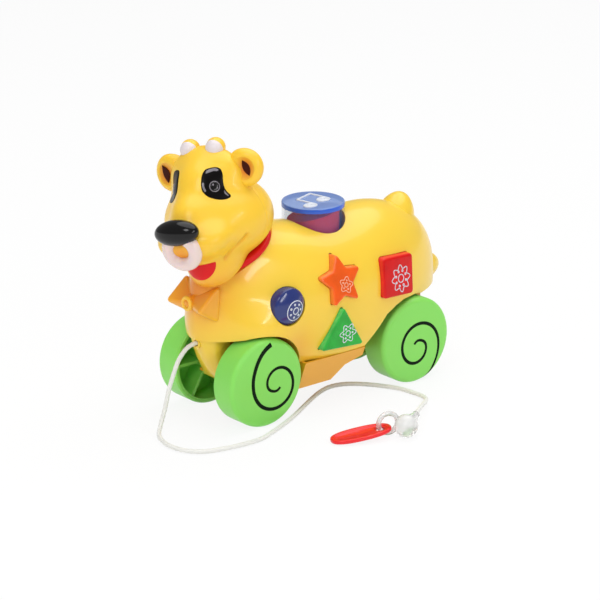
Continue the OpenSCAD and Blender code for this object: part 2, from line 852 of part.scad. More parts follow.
module button_pads() {
    color("gray") for (b = [
        [round_at, round_flange_y], [star_at, flange_y], [triangle_at, flange_y], [square_at, square_flange_y]
    ])
        translate([b[0].x, -board_y, b[0].y]) rotate([90, 0, 0])
            cylinder(h = b[1] - flange_t - button_travel - gap - board_y, r = pad_r);
}

// Outlines of the buttons in X and Z, with some room around them
module round_outline(room) {
    translate(round_at) circle(r = round_d / 2 + room);
}

module star_outline(room) {
    translate(star_at) polygon([
        for (k = [0 : 9])
            let (r = (k % 2 == 0 ? star_r : star_r * star_waist) + room * 1.5)
            r * [cos(90 + star_roll + 36 * k), sin(90 + star_roll + 36 * k)]
    ]);
}

module triangle_outline(room) {
    translate(triangle_at) rotate(triangle_roll) polygon([
        [-triangle_w / 2 - 2 * room, -triangle_h / 2 - room],
        [triangle_w / 2 + 2 * room, -triangle_h / 2 - room],
        [0, triangle_h / 2 + 2 * room]
    ]);
}

module square_outline(room) {
    translate(square_at) rotate(square_roll)
        square([square_w + 2 * room, square_h + 2 * room], center = true);
}

// A button with a face along the body's surface and a flange behind the wall
module button_form(at, flange, flange_r) {
    face = side_y(at.x, at.y) + button_proud;
    intersection() {
        side_prism(flange - flange_t, far) children();
        translate([at.x, -face, at.y]) rotate([face_lean * lean_z(at), 0, -face_lean * lean_x(at)])
            translate([-far / 2, 0, -far / 2]) cube(far);
    }
    translate([at.x, -flange + flange_t, at.y]) rotate([90, 0, 0]) cylinder(h = flange_t, r = flange_r);
}

module round_button() {
    face = side_y(round_at.x, round_at.y) + button_proud + 2;
    color("midnightblue") {
        intersection() {
            side_prism(round_flange_y - flange_t, far) round_outline(0);
            translate([round_at.x, dome_r - face, round_at.y]) sphere(r = dome_r);
        }
        translate([round_at.x, -round_flange_y + flange_t, round_at.y]) rotate([90, 0, 0])
            cylinder(h = flange_t, r = round_flange_r);
    }
}

module star_button() {
    color("orangered") button_form(star_at, flange_y, star_flange_r) star_outline(0);
}

module triangle_button() {
    color("green") button_form(triangle_at, flange_y, triangle_flange_r) triangle_outline(0);
}

module square_button() {
    color("crimson") button_form(square_at, square_flange_y, square_flange_r) square_outline(0);
}

module drum_well() {
    color("white") intersection() {
        translate([drum_back, 0, well_floor]) difference() {
            cylinder(h = far, r = drum_r + gap + well_wall);
            translate([0, 0, drum_floor]) cylinder(h = far, r = drum_r + gap);
        }
        egg_solid(wall + seat_fit);
    }
}

module drum_switch() {
    color("gray") translate([drum_back, 0, well_floor + drum_floor])
        cylinder(h = drum_low - drum_travel - gap - well_floor - drum_floor, r = switch_pad_r);
}

module drum_lamps() {
    color("white") for (k = [0 : 2]) translate([drum_back, 0, well_floor + drum_floor])
        rotate([0, 0, 120 * k]) translate([lamp_ring_r, 0, 0])
            cylinder(h = min(lamp_h, drum_low - drum_travel - gap - well_floor - drum_floor), d = lamp_d);
}

module drum_cap() {
    color("royalblue") translate([drum_back, 0, drum_top - cap_t]) rotate_extrude() polygon(concat(
        [[0, 0], [drum_r, 0]],
        [for (k = [0 : 4]) [drum_r - 1 + cos(90 * k / 4), cap_t - 1 + sin(90 * k / 4)]],
        [[0, cap_t]]
    ));
}

module drum_wall_ring() {
    color("lightskyblue") translate([drum_back, 0, drum_low]) difference() {
        cylinder(h = drum_top - cap_t - drum_low, r = drum_r);
        translate([0, 0, drum_floor]) cylinder(h = far, r = drum_r - drum_wall);
    }
}

module drum_insert() {
    color("tomato") translate([drum_back, 0, drum_low + drum_floor]) {
        cylinder(h = insert_floor, r = drum_r - drum_wall - gap);
        cylinder(h = insert_h, r = insert_core_r);
        for (k = [0 : insert_fins - 1]) rotate([0, 0, 360 * k / insert_fins])
            translate([0, -fin_t / 2, 0]) cube([drum_r - drum_wall - fin_room, fin_t, insert_h - fin_room]);
    }
}

module collar() {
    r = collar_d / 2;
    color("red") in_neck() difference() {
        rotate_extrude() polygon(concat(
            [[0, 0], [r - 2, 0]],
            [for (k = [0 : 6]) [r - 2 + 2 * cos(-90 + 30 * k), collar_t / 2 * (1 + sin(-90 + 30 * k))]],
            [[0, collar_t]]
        ));
        translate([0, 0, -1]) cylinder(h = far, r = pivot_d / 2 + shaft_fit);
    }
}

// Turns a piece with the head
module in_head() {
    translate(neck) rotate(a = head_turn, v = neck_axis) children();
}

module neck_pivot() {
    color("goldenrod") difference() {
        union() {
            in_head() intersection() {
                head_solid(head_wall + seat_fit);
                rotate([0, -neck_tilt, 0]) translate([-far, -far, jaw_h]) cube([2 * far, 2 * far, base_t]);
            }
            in_neck() translate([0, 0, -gap]) cylinder(h = jaw_h + gap + base_t, d = pivot_d);
        }
        in_neck() translate([0, 0, -gap - 1]) cylinder(h = neck_screw_reach + 1, r = screw_d / 2 + seat_fit);
    }
}

module neck_washer() {
    color("white") in_neck() translate([0, 0, -gap - washer_t]) difference() {
        cylinder(h = washer_t, d = washer_d);
        translate([0, 0, -1]) cylinder(h = far, r = screw_d / 2 + seat_fit);
    }
}

module neck_screw() {
    color("silver") in_neck() translate([0, 0, -gap - washer_t]) screw(washer_t + neck_screw_reach - 1);
}

// Sum of the head's swellings at a point, 1 or more inside
function swell_sum(p, k = 0) = k == len(head_swells) ? 0 :
    let (c = head_swells[k][0], r = head_swells[k][1])
    let (q = [(p.x - c.x) / r.x, (p.y - c.y) / r.y, (p.z - c.z) / r.z])
    exp(swell_blend * (1 - q * q)) + swell_sum(p, k + 1);
function surface_at(way, lo, hi, steps) =
    let (m = (lo + hi) / 2)
    steps == 0 ? m
    : swell_sum(head_mid + m * way) >= 1 ? surface_at(way, m, hi, steps - 1)
    : surface_at(way, lo, m, steps - 1);
function head_point(polar, round, inset) =
    let (way = [-cos(polar), sin(polar) * cos(round), sin(polar) * sin(round)])
    head_mid + (surface_at(way, 0, search_reach, search_steps) - inset) * way;
function head_skin(from, to, inset) = concat(
    [head_point(from, 0, inset)],
    [
        for (i = [1 : head_rings]) for (j = [0 : head_segs - 1])
            head_point(from + (to - from) * i / head_rings, 360 * j / head_segs, inset)
    ]
);
function ring_of(i, first) = [for (j = [0 : head_segs]) first + 1 + (i - 1) * head_segs + j % head_segs];
function cup_faces(first, turned) = concat(
    fan_faces(first, ring_of(1, first), turned),
    [
        for (i = [1 : head_rings - 1])
            let (strip = strip_faces(ring_of(i + 1, first), ring_of(i, first)))
            each turned ? [for (t = strip) [t[0], t[2], t[1]]] : strip
    ]
);

// One half of the head's wall, from its pole to the seam
module head_half(pole) {
    n = 1 + head_rings * head_segs;
    back = pole > 90;
    polyhedron(
        concat(head_skin(pole, 90, 0), head_skin(pole, 90, head_wall)),
        concat(
            cup_faces(0, back),
            cup_faces(n, !back),
            back ? strip_faces(ring_of(head_rings, 0), ring_of(head_rings, n))
            : strip_faces(ring_of(head_rings, n), ring_of(head_rings, 0))
        )
    );
}

module head_solid(inset) {
    seam = ring_of(head_rings, 0);
    for (back = [false, true]) polyhedron(
        head_skin(back ? 180 : 0, 90, inset),
        concat(cup_faces(0, back), [
            for (j = [1 : head_segs - 2])
                back ? [seam[0], seam[j], seam[j + 1]] : [seam[0], seam[j + 1], seam[j]]
        ])
    );
}

module below_jaw() {
    rotate([0, -neck_tilt, 0]) translate([-far, -far, jaw_h - far]) cube([2 * far, 2 * far, far]);
}

module head_front_shell() {
    color("gold") in_head() difference() {
        head_half(0);
        below_jaw();
    }
}

module head_back_shell() {
    color("gold") in_head() difference() {
        head_half(180);
        below_jaw();
    }
}

// A disc with a round rim and a dished front
module ear_form() {
    r = ear_d / 2;
    dish = ear_t / 4;
    steps = 6;
    rotate_extrude() polygon(concat(
        [[0, -ear_t / 2], [r - ear_t / 2, -ear_t / 2]],
        [for (k = [1 : steps]) [r - ear_t / 2 + ear_t / 2 * sin(30 * k), -ear_t / 2 * cos(30 * k)]],
        [for (k = [1 : steps]) [(r - ear_t / 2) * (1 - k / steps), ear_t / 2 - dish * sin(90 * k / steps)]]
    ));
}

module ear(side) {
    color("gold") in_head() difference() {
        translate([ear_at.x, side * ear_at.y, ear_at.z])
            rotate([0, 0, -side * ear_yaw]) rotate([0, -90, 0]) ear_form();
        head_solid(0);
    }
}

module horn(side) {
    color("white") in_head() difference() {
        translate([horn_at.x, side * horn_at.y, horn_at.z]) sphere(d = horn_d);
        head_solid(0);
    }
}

module eye(side) {
    color("black") in_head() difference() {
        intersection() {
            translate([eye_at.x, side * eye_at.y, eye_at.z])
                rotate([0, eye_pitch, side * -eye_yaw]) rotate([90, 0, -90])
                    translate([0, 0, -eye_deep / 2]) linear_extrude(eye_deep)
                        polygon([for (p = eye_outline) [-side * p.x, p.y]]);
            head_solid(-patch_proud);
        }
        head_solid(0);
    }
}

module nose_form() {
    steps = 16;
    translate(nose_at) rotate([90, 0, 0]) rotate_extrude() polygon([
        for (k = [0 : steps]) [nose_h / 2 * sin(180 * k / steps), -nose_w / 2 * cos(180 * k / steps)]
    ]);
}

module nose() {
    color("black") in_head() difference() {
        nose_form();
        head_solid(0);
    }
}

module nose_ring() {
    sides = 24;
    color("white") in_head() difference() {
        translate(nose_ring_at) rotate([0, nose_ring_pitch, 0]) rotate([0, -90, 0])
            rotate_extrude() translate([(nose_ring_d - nose_ring_t) / 2, 0]) polygon([
                for (k = [0 : sides - 1]) nose_ring_t / 2 * [cos(360 * k / sides), sin(360 * k / sides)]
            ]);
        nose_form();
        head_solid(0);
    }
}

module mouth() {
    color("red") in_head() difference() {
        intersection() {
            translate(mouth_at) rotate([90, 0, -90]) linear_extrude(mouth_deep) intersection() {
                translate([0, mouth_h / 2]) circle(r = mouth_w / 2);
                translate([-far / 2, mouth_h / 2 - far]) square(far);
            }
            head_solid(-patch_proud);
        }
        head_solid(0);
    }
}

module axle() {
    half = wheel_out - rim_wall;
    color("silver") rotate([90, 0, 0]) cylinder(h = 2 * half, d = axle_d, center = true);
}

module front_axle() {
    translate([-axle_x, 0, axle_z]) axle();
}

module rear_axle() {
    translate([axle_x, 0, axle_z]) axle();
}

// A wheel with its outer face at +Z: closed face, rim, hub and ribs behind
module wheel_form() {
    r = wheel_d / 2;
    deep = wheel_w - rim_wall;
    bend = [r - wheel_round, wheel_w - wheel_round];
    difference() {
        rotate_extrude($fn = 96) polygon(concat(
            [[0, 0], [r - 1, 0], [r, 1]],
            [for (k = [0 : 6]) bend + wheel_round * [cos(15 * k), sin(15 * k)]],
            [[0, wheel_w]]
        ));
        difference() {
            translate([0, 0, -1]) cylinder(h = deep + 1, r = r - rim_wall);
            translate([0, 0, -2]) cylinder(h = far, d = hub_d);
            for (k = [0 : wheel_ribs - 1]) rotate([0, 0, 360 * k / wheel_ribs])
                translate([0, -rib_t / 2, rim_wall]) cube([r, rib_t, wheel_w]);
        }
        translate([0, 0, -1]) cylinder(h = deep + 1, d = axle_d);
    }
}

module wheel(x, side) {
    color("limegreen") translate([x, side * wheel_in, axle_z]) rotate([-side * 90, 0, 0]) wheel_form();
}

module front_left_wheel() {
    wheel(-axle_x, -1);
}

module front_right_wheel() {
    wheel(-axle_x, 1);
}

module rear_left_wheel() {
    wheel(axle_x, -1);
}

module rear_right_wheel() {
    wheel(axle_x, 1);
}

module cord_knot() {
    steps = 12;
    start = 110;
    color("white") translate([knot_x - knot_r * cos(start), 0, cord_hole_z]) rotate([0, 90, 0])
        rotate_extrude() polygon(concat(
            [[0, knot_r * cos(start)]],
            [for (k = [0 : steps]) let (a = start * (1 - k / steps)) knot_r * [sin(a), cos(a)]]
        ));
}

// The cord: a smooth curve through its points, with a ring of sides at each step
function route_point(k) = cord_route[max(0, min(len(cord_route) - 1, k))];
function route_at(t) =
    let (k = min(floor(t), len(cord_route) - 2), f = t - k)
    let (a = route_point(k - 1), b = route_point(k), c = route_point(k + 1), d = route_point(k + 2))
    b + f * ((c - a) / 2 + f * (a - 2.5 * b + 2 * c - d / 2 + f * (1.5 * (b - c) + (d - a) / 2)));
function unit(v) = v / norm(v);

module pull_cord() {
    count = cord_fine * (len(cord_route) - 1) + 1;
    path = [for (k = [0 : count - 1]) route_at(k / cord_fine)];
    points = [
        for (k = [0 : count - 1])
            let (way = unit(path[min(k + 1, count - 1)] - path[max(k - 1, 0)]))
            let (across = unit(cross(way, [0, 0, 1])), up = cross(across, way))
            for (j = [0 : cord_sides - 1])
                path[k] + cord_d / 2 * (cos(360 * j / cord_sides) * across + sin(360 * j / cord_sides) * up)
    ];
    sides = [
        for (k = [0 : count - 2]) for (j = [0 : cord_sides - 1])
            let (a = k * cord_sides + j, b = k * cord_sides + (j + 1) % cord_sides)
            each [[a, b, b + cord_sides], [a, b + cord_sides, a + cord_sides]]
    ];
    ends = concat(
        [for (j = [1 : cord_sides - 2]) [0, j + 1, j]],
        [for (j = [1 : cord_sides - 2]) (count - 1) * cord_sides * [1, 1, 1] + [0, j, j + 1]]
    );
    color("white") polyhedron(points, concat(sides, ends));
}

module cord_ball() {
    r = ball_d / 2;
    steps = 16;
    neck_a = 50;
    color("whitesmoke") {
        translate(ball_at) rotate([0, 0, ball_turn]) rotate([0, 90 - ball_rise, 0])
            rotate_extrude() polygon(concat(
                [for (k = [0 : steps]) let (a = -90 + (90 + neck_a) * k / steps) [r * cos(a), r * sin(a)]],
                [[ball_neck_r, ball_neck - 2], [ball_neck_r, ball_neck], [0, ball_neck]]
            ));
        translate(loop_at) rotate([0, 0, loop_turn]) rotate([90, 0, 0])
            rotate_extrude() translate([loop_r, 0]) circle(d = loop_t);
    }
}

// Oval outline of the pull tab, drawn in from its edge
module tab_outline(inset) {
    steps = 48;
    polygon([
        for (k = [0 : steps - 1])
            let (a = 360 * k / steps, c = cos(a), t = sin(a))
            [
                tab_l / 2 - tab_end + (tab_l / 2 - inset) * sign(c) * pow(abs(c), 2 / tab_power),
                (tab_w / 2 - inset) * sign(t) * pow(abs(t), 2 / tab_power)
            ]
    ]);
}

module pull_tab() {
    color("red") translate([loop_at.x, loop_at.y, tab_low]) rotate([0, 0, loop_turn]) rotate([0, tab_tilt, 0])
        difference() {
            linear_extrude(tab_t) tab_outline(0);
            translate([0, 0, tab_t - tab_dish]) linear_extrude(tab_t) tab_outline(tab_rim);
            translate([tab_hole_at, 0, -1]) cylinder(h = 2 * tab_t, d = tab_hole_d);
        }
}

module placed() {
    translate([origin_x, origin_y, 0]) children();
}

placed() body_left_shell();
placed() body_right_shell();
placed() shell_screws();
placed() keel();
placed() bow_tie();
placed() tail();
placed() rear_bumper();
placed() chassis();
placed() axle_bushes();
placed() battery_door();
placed() door_screw();
placed() battery_cells();
placed() battery_contacts();
placed() circuit_board();
placed() speaker();
placed() switch_body();
placed() switch_knob();
placed() button_board();
placed() button_pads();
placed() round_button();
placed() star_button();
placed() triangle_button();
placed() square_button();
placed() drum_well();
placed() drum_switch();
placed() drum_lamps();
placed() drum_cap();
placed() drum_wall_ring();
placed() drum_insert();
placed() collar();
placed() neck_pivot();
placed() neck_washer();
placed() neck_screw();
placed() head_front_shell();
placed() head_back_shell();
placed() ear(-1);  // left_ear
placed() ear(1);  // right_ear
placed() horn(-1);  // left_horn
placed() horn(1);  // right_horn
placed() eye(-1);  // left_eye
placed() eye(1);  // right_eye
placed() nose();
placed() nose_ring();
placed() mouth();
placed() front_axle();
placed() rear_axle();
placed() front_left_wheel();
placed() front_right_wheel();
placed() rear_left_wheel();
placed() rear_right_wheel();
placed() cord_knot();
placed() pull_cord();
placed() cord_ball();
placed() pull_tab();
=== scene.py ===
import math

import bmesh
import bpy
import numpy as np
from mathutils import Matrix, Vector


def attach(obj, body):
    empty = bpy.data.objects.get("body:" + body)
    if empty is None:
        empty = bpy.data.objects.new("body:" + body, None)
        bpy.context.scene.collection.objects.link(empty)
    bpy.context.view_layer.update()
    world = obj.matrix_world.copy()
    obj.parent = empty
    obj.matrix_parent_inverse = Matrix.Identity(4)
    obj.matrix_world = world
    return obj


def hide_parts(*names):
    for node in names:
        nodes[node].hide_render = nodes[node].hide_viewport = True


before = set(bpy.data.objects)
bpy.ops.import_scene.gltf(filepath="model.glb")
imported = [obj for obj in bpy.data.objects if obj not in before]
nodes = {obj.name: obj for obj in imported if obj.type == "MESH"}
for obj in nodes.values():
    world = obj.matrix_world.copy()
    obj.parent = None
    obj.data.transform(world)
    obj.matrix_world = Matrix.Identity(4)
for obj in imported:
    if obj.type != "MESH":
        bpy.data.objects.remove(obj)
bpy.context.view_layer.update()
scene = bpy.context.scene
print("frame loaded:", len(nodes), "nodes")

mm = 0.001
mergeGap = 2e-6  # points closer than this, in metres, are one
sliverGap = 1e-7
farAway = 300.0
rowShift = np.array([5.9, 2.2, 0.0])  # the cow is drawn from mid-wheelbase, the row from its own middle
sides = ((-1, "left"), (1, "right"))


def toRow(points):
    return (np.asarray(points, float).reshape(-1, 3) + rowShift) * mm


def turnAbout(axis, degrees):
    return np.array(Matrix.Rotation(math.radians(degrees), 3, axis))


def onSide(at, side):
    return np.array([at[0], side * at[1], at[2]], float)


def srgb(red, green, blue):
    def linear(c):
        return c / 12.92 if c <= 0.04045 else ((c + 0.055) / 1.055) ** 2.4
    return (linear(red), linear(green), linear(blue), 1.0)


# camera, at the photograph's place
cameraSetup = {
    "place": (-1130.634, -1351.106, 663.327),
    "target": (-4.576, 0.0, 62.138),
    "lens": 171.78,
    "sensor": 36.0,
    "clipEnd": 20.0,
}
cameraData = bpy.data.cameras.new("studioCamera")
cameraData.sensor_width = cameraSetup["sensor"]
cameraData.lens = cameraSetup["lens"]
cameraData.clip_end = cameraSetup["clipEnd"]
camera = bpy.data.objects.new("studioCamera", cameraData)
scene.collection.objects.link(camera)
camera.location = Vector(toRow(cameraSetup["place"])[0])
aim = Vector(toRow(cameraSetup["target"])[0]) - camera.location
camera.rotation_euler = aim.to_track_quat("-Z", "Y").to_euler()
scene.camera = camera
scene.view_settings.view_transform = "Standard"


# node trees: each input is linked to a socket or set to a value
def feed(tree, node, values):
    for name, value in values.items():
        if isinstance(value, bpy.types.NodeSocket):
            tree.links.new(value, node.inputs[name])
        else:
            node.inputs[name].default_value = value
    return node


def addNode(tree, kind, values=None):
    return feed(tree, tree.nodes.new(kind), values or {})


def addMath(tree, operation, *values):
    node = tree.nodes.new("ShaderNodeMath")
    node.operation = operation
    return feed(tree, node, dict(enumerate(values))).outputs[0]


def addSockets(tree, way, sockets):
    for name, kind in sockets.items():
        tree.interface.new_socket(name, in_out=way, socket_type="NodeSocket" + kind)


# shader group of the moulded plastics: cloudy tone, uneven gloss and a fine grain
skinForm = {
    "cloudDetail": 3.0, "glossSpread": 0.06, "grainScale": 900.0, "grainDetail": 2.0, "grainDeep": 0.0005,
}


def skinGroup():
    tree = bpy.data.node_groups.new("mouldedSkin", "ShaderNodeTree")
    addSockets(tree, "INPUT", {"Tint": "Color", "Mottle": "Float", "Mottle Scale": "Float", "Gloss": "Float"})
    addSockets(tree, "OUTPUT", {"Color": "Color", "Roughness": "Float", "Height": "Float"})
    given = addNode(tree, "NodeGroupInput").outputs
    place = addNode(tree, "ShaderNodeTexCoord").outputs["Object"]
    cloud = addNode(tree, "ShaderNodeTexNoise", {
        "Vector": place, "Scale": given["Mottle Scale"], "Detail": skinForm["cloudDetail"]})
    grain = addNode(tree, "ShaderNodeTexNoise", {
        "Vector": place, "Scale": skinForm["grainScale"], "Detail": skinForm["grainDetail"]})
    centred = addMath(tree, "SUBTRACT", cloud.outputs["Fac"], 0.5)
    tone = addNode(tree, "ShaderNodeHueSaturation", {
        "Value": addMath(tree, "MULTIPLY_ADD", centred, given["Mottle"], 1.0), "Color": given["Tint"]})
    gloss = addMath(tree, "MULTIPLY_ADD", centred, skinForm["glossSpread"], given["Gloss"])
    addNode(tree, "NodeGroupOutput", {
        "Color": tone.outputs["Color"], "Roughness": gloss, "Height": grain.outputs["Fac"]})
    return tree


mouldedSkin = skinGroup()
plasticForm = {
    "Coat Roughness": 0.05, "IOR": 1.47, "Subsurface Radius": (1.0, 0.5, 0.2), "Subsurface Scale": 0.002,
}


def newMaterial(name):
    material = bpy.data.materials.new(name)
    material.use_nodes = True
    return material, material.node_tree, material.node_tree.nodes["Principled BSDF"]


# deep is the tint that the piece's painted light attribute turns to: painted shade on the yellow pieces and
# in the ear dishes, painted highlights on the button edges
def plastic(name, tint, gloss=0.28, mottle=0.05, mottleScale=26.0, grain=0.02, coat=0.2, clear=0.0, metal=0.0,
            cover=1.0, soft=0.0, shine=0.5, deep=None):
    material, tree, shader = newMaterial(name)
    skin = addNode(tree, "ShaderNodeGroup")
    skin.node_tree = mouldedSkin
    feed(tree, skin, {"Tint": srgb(*tint), "Mottle": mottle, "Mottle Scale": mottleScale, "Gloss": gloss})
    if deep:
        paintedLight = addNode(tree, "ShaderNodeAttribute")
        paintedLight.attribute_name = "paintedLight"
        shades = addNode(tree, "ShaderNodeValToRGB", {"Fac": paintedLight.outputs["Fac"]})
        shades.color_ramp.elements[0].color = srgb(*tint)
        shades.color_ramp.elements[1].color = srgb(*deep)
        feed(tree, skin, {"Tint": shades.outputs["Color"]})
    bump = addNode(tree, "ShaderNodeBump", {
        "Strength": grain, "Distance": skinForm["grainDeep"], "Height": skin.outputs["Height"]})
    feed(tree, shader, plasticForm)
    feed(tree, shader, {
        "Base Color": skin.outputs["Color"], "Roughness": skin.outputs["Roughness"],
        "Normal": bump.outputs["Normal"], "Coat Weight": coat, "Transmission Weight": clear,
        "Metallic": metal, "Alpha": cover, "Subsurface Weight": soft, "Specular IOR Level": shine,
    })
    return material


yellow = (0.985, 0.825, 0.24)
warmYellow = (0.99, 0.8, 0.21)
# amber is painted shade: the tint the yellow plastic turns to where shade falls
paintedShadeAmber = (0.93, 0.5, 0.08)
finishes = {
    "shell": plastic("yellowShell", yellow, gloss=0.3, coat=0.35, soft=0.1, deep=paintedShadeAmber),
    "head": plastic("yellowHead", warmYellow, gloss=0.36, coat=0.12, soft=0.1, deep=paintedShadeAmber),
    # the ear dishes darken towards their slits: painted shade in the hollow
    "dish": plastic("dishPaintedShade", warmYellow, gloss=0.4, deep=(0.84, 0.36, 0.06)),
    # the bow's tint is the body's yellow turned more orange, painted shade, and its deep amber is painted
    # shade too
    "bow": plastic("bowPaintedShade", (0.98, 0.77, 0.22), gloss=0.3, coat=0.1, soft=0.1, deep=paintedShadeAmber),
    # the chassis tint is the body's yellow, darker and more orange: painted shade for the parts that sit
    # under the shell
    "chassis": plastic("chassisPaintedShade", (0.95, 0.68, 0.16), gloss=0.36),
    "wheel": plastic("greenWheel", (0.545, 0.885, 0.38), gloss=0.4, coat=0.08, soft=0.15),
    "ink": plastic("blackInk", (0.03, 0.1, 0.03), gloss=0.5, coat=0.0, shine=0.1),
    "black": plastic("glossBlack", (0.045, 0.04, 0.042), gloss=0.14, coat=0.15, shine=0.32),
    "eyeBlack": plastic("eyeBlack", (0.05, 0.04, 0.045), gloss=0.3, coat=0.0, shine=0.1),
    # grey marks on the eyes: painted reflections and painted highlights
    "paintedReflection": plastic("greyPaintedReflection", (0.5, 0.48, 0.51), gloss=0.2),
    "slit": plastic("brownSlit", (0.25, 0.07, 0.03), gloss=0.5, coat=0.0, shine=0.15),
    "horn": plastic("ivoryHorn", (0.9, 0.86, 0.87), gloss=0.3),
    "ring": plastic("milkRing", (0.92, 0.84, 0.82), gloss=0.26, soft=0.3),
    "red": plastic("redCollar", (0.86, 0.08, 0.09), gloss=0.35, coat=0.05, shine=0.25),
    "mouth": plastic("redMouth", (0.87, 0.08, 0.1), gloss=0.4, coat=0.05, shine=0.25),
    "round": plastic("navyButton", (0.14, 0.2, 0.46), gloss=0.16, coat=0.3),
    # the deep tints of the star, triangle and square are lighter: painted highlights on their rounded edges
    # and sides
    "star": plastic("orangeButton", (0.95, 0.37, 0.08), gloss=0.22, coat=0.2, soft=0.3, shine=0.3, mottle=0.5,
                    mottleScale=110.0, deep=(1.0, 0.54, 0.22)),
    "triangle": plastic("greenButton", (0.12, 0.74, 0.22), gloss=0.18, coat=0.25, clear=0.2, shine=0.25,
                        mottle=1.1, mottleScale=100.0, deep=(0.42, 0.92, 0.5)),
    "square": plastic("crimsonButton", (0.87, 0.05, 0.05), gloss=0.22, coat=0.1, clear=0.1, shine=0.15,
                      mottle=0.6, mottleScale=90.0, deep=(0.97, 0.24, 0.2)),
    "print": plastic("palePrint", (0.86, 0.88, 0.92), gloss=0.4, coat=0.0),
    "softPrint": plastic("softPrint", (0.98, 0.7, 0.56), gloss=0.4, coat=0.0),
    "cap": plastic("blueCap", (0.52, 0.66, 0.92), gloss=0.12, coat=0.4, cover=0.66),
    "band": plastic("blueBand", (0.16, 0.36, 0.82), gloss=0.15, coat=0.4),
    "drum": plastic("clearDrum", (0.14, 0.46, 0.8), gloss=0.06, coat=0.2, mottle=0.02, cover=0.15),
    "insert": plastic("coralInsert", (0.93, 0.25, 0.07), gloss=0.45, coat=0.0, shine=0.15),
    "white": plastic("whitePlastic", (0.9, 0.9, 0.88), gloss=0.45),
    "steel": plastic("steel", (0.72, 0.72, 0.74), gloss=0.3, metal=1.0, grain=0.05, coat=0.0),
    "cells": plastic("cellJacket", (0.3, 0.3, 0.33), gloss=0.4),
    "board": plastic("circuitGreen", (0.1, 0.36, 0.18), gloss=0.5, mottle=0.15),
    "dark": plastic("darkPlastic", (0.16, 0.16, 0.17), gloss=0.5),
    "rubber": plastic("greyRubber", (0.5, 0.5, 0.51), gloss=0.7, coat=0.0),
    "ball": plastic("frostedBall", (0.96, 0.96, 0.955), gloss=0.24, clear=0.62, mottle=0.16, grain=0.08,
                    mottleScale=220.0),
    "tab": plastic("redTab", (0.94, 0.13, 0.15), gloss=0.3, shine=0.4),
}
print("finishes:", len(finishes))


# mesh helpers
def linked(name, data):
    piece = bpy.data.objects.new(name, data)
    scene.collection.objects.link(piece)
    return piece


def meshPiece(name, points, faces):
    mesh = bpy.data.meshes.new(name)
    mesh.from_pydata(toRow(points).tolist(), [], [tuple(int(k) for k in f) for f in faces])
    form = bmesh.new()
    form.from_mesh(mesh)
    bmesh.ops.remove_doubles(form, verts=form.verts, dist=mergeGap)
    bmesh.ops.dissolve_degenerate(form, edges=form.edges, dist=sliverGap)
    bmesh.ops.recalc_face_normals(form, faces=form.faces)
    form.to_mesh(mesh)
    form.free()
    return linked(name, mesh)


def joinedPiece(name, parts):
    form = bmesh.new()
    for part in parts:
        form.from_mesh(part.data)
        bpy.data.objects.remove(part)
    mesh = bpy.data.meshes.new(name)
    form.to_mesh(mesh)
    form.free()
    return linked(name, mesh)


def evaluatedMesh(piece):
    return bpy.data.meshes.new_from_object(piece.evaluated_get(bpy.context.evaluated_depsgraph_get()))


def baked(piece):
    mesh = evaluatedMesh(piece)
    piece.modifiers.clear()
    piece.data = mesh
    return piece


def cutAway(piece, cutters):
    for cutter in cutters:
        cut = piece.modifiers.new("cut", "BOOLEAN")
        cut.operation = "DIFFERENCE"
        cut.solver = "MANIFOLD"
        cut.object = cutter
    baked(piece)
    for cutter in cutters:
        bpy.data.objects.remove(cutter)
    return piece


def rounded(piece, width, steps, angle):
    bevel = piece.modifiers.new("edge", "BEVEL")
    bevel.width = width * mm
    bevel.segments = steps
    bevel.limit_method = "ANGLE"
    bevel.angle_limit = math.radians(angle)
    return baked(piece)


def finished(piece, finish, body, replaced=(), crease=35):
    form = bmesh.new()
    form.from_mesh(piece.data)
    for polygon in form.faces:
        polygon.smooth = True
    for edge in form.edges:
        edge.smooth = len(edge.link_faces) == 2 and edge.calc_face_angle(0.0) < math.radians(crease)
    form.to_mesh(piece.data)
    form.free()
    piece.data.materials.clear()
    piece.data.materials.append(finishes[finish])
    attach(piece, body)
    if replaced:
        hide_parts(*replaced)
    return piece


def partPoints(piece):
    return np.array([v.co for v in piece.data.vertices]) / mm - rowShift


def movePoints(piece, points):
    piece.data.vertices.foreach_set("co", toRow(points).ravel())
    piece.data.update()


# painted light: spots of painted shade, each with its reach and strength, tint the plastic towards its deep
# colour; extra is more painted light, such as the shade in the smile crease and the ear dishes and the
# highlights on the button edges
def withPaintedLight(piece, spots, extra=None):
    co = partPoints(piece)
    warm = np.zeros(len(co)) if extra is None else extra
    for place, reach, strength in spots:
        warm = np.maximum(warm, strength * np.exp(-((co - np.asarray(place)) ** 2).sum(1) / reach ** 2))
    paintedLight = piece.data.attributes.new("paintedLight", "FLOAT", "POINT")
    paintedLight.data.foreach_set("value", np.clip(warm, 0, 1).astype(np.float32))


def gridFaces(rows, cols, first=0, wrap=False):
    span = cols if wrap else cols - 1
    return [
        (first + i * cols + j, first + i * cols + (j + 1) % cols,
         first + (i + 1) * cols + (j + 1) % cols, first + (i + 1) * cols + j)
        for i in range(rows - 1) for j in range(span)
    ]


# a tube of rings with both ends closed
def tubeFaces(rows, cols):
    last = (rows - 1) * cols
    ends = [tuple(range(cols)), tuple(range(last + cols - 1, last - 1, -1))]
    return gridFaces(rows, cols, wrap=True) + ends


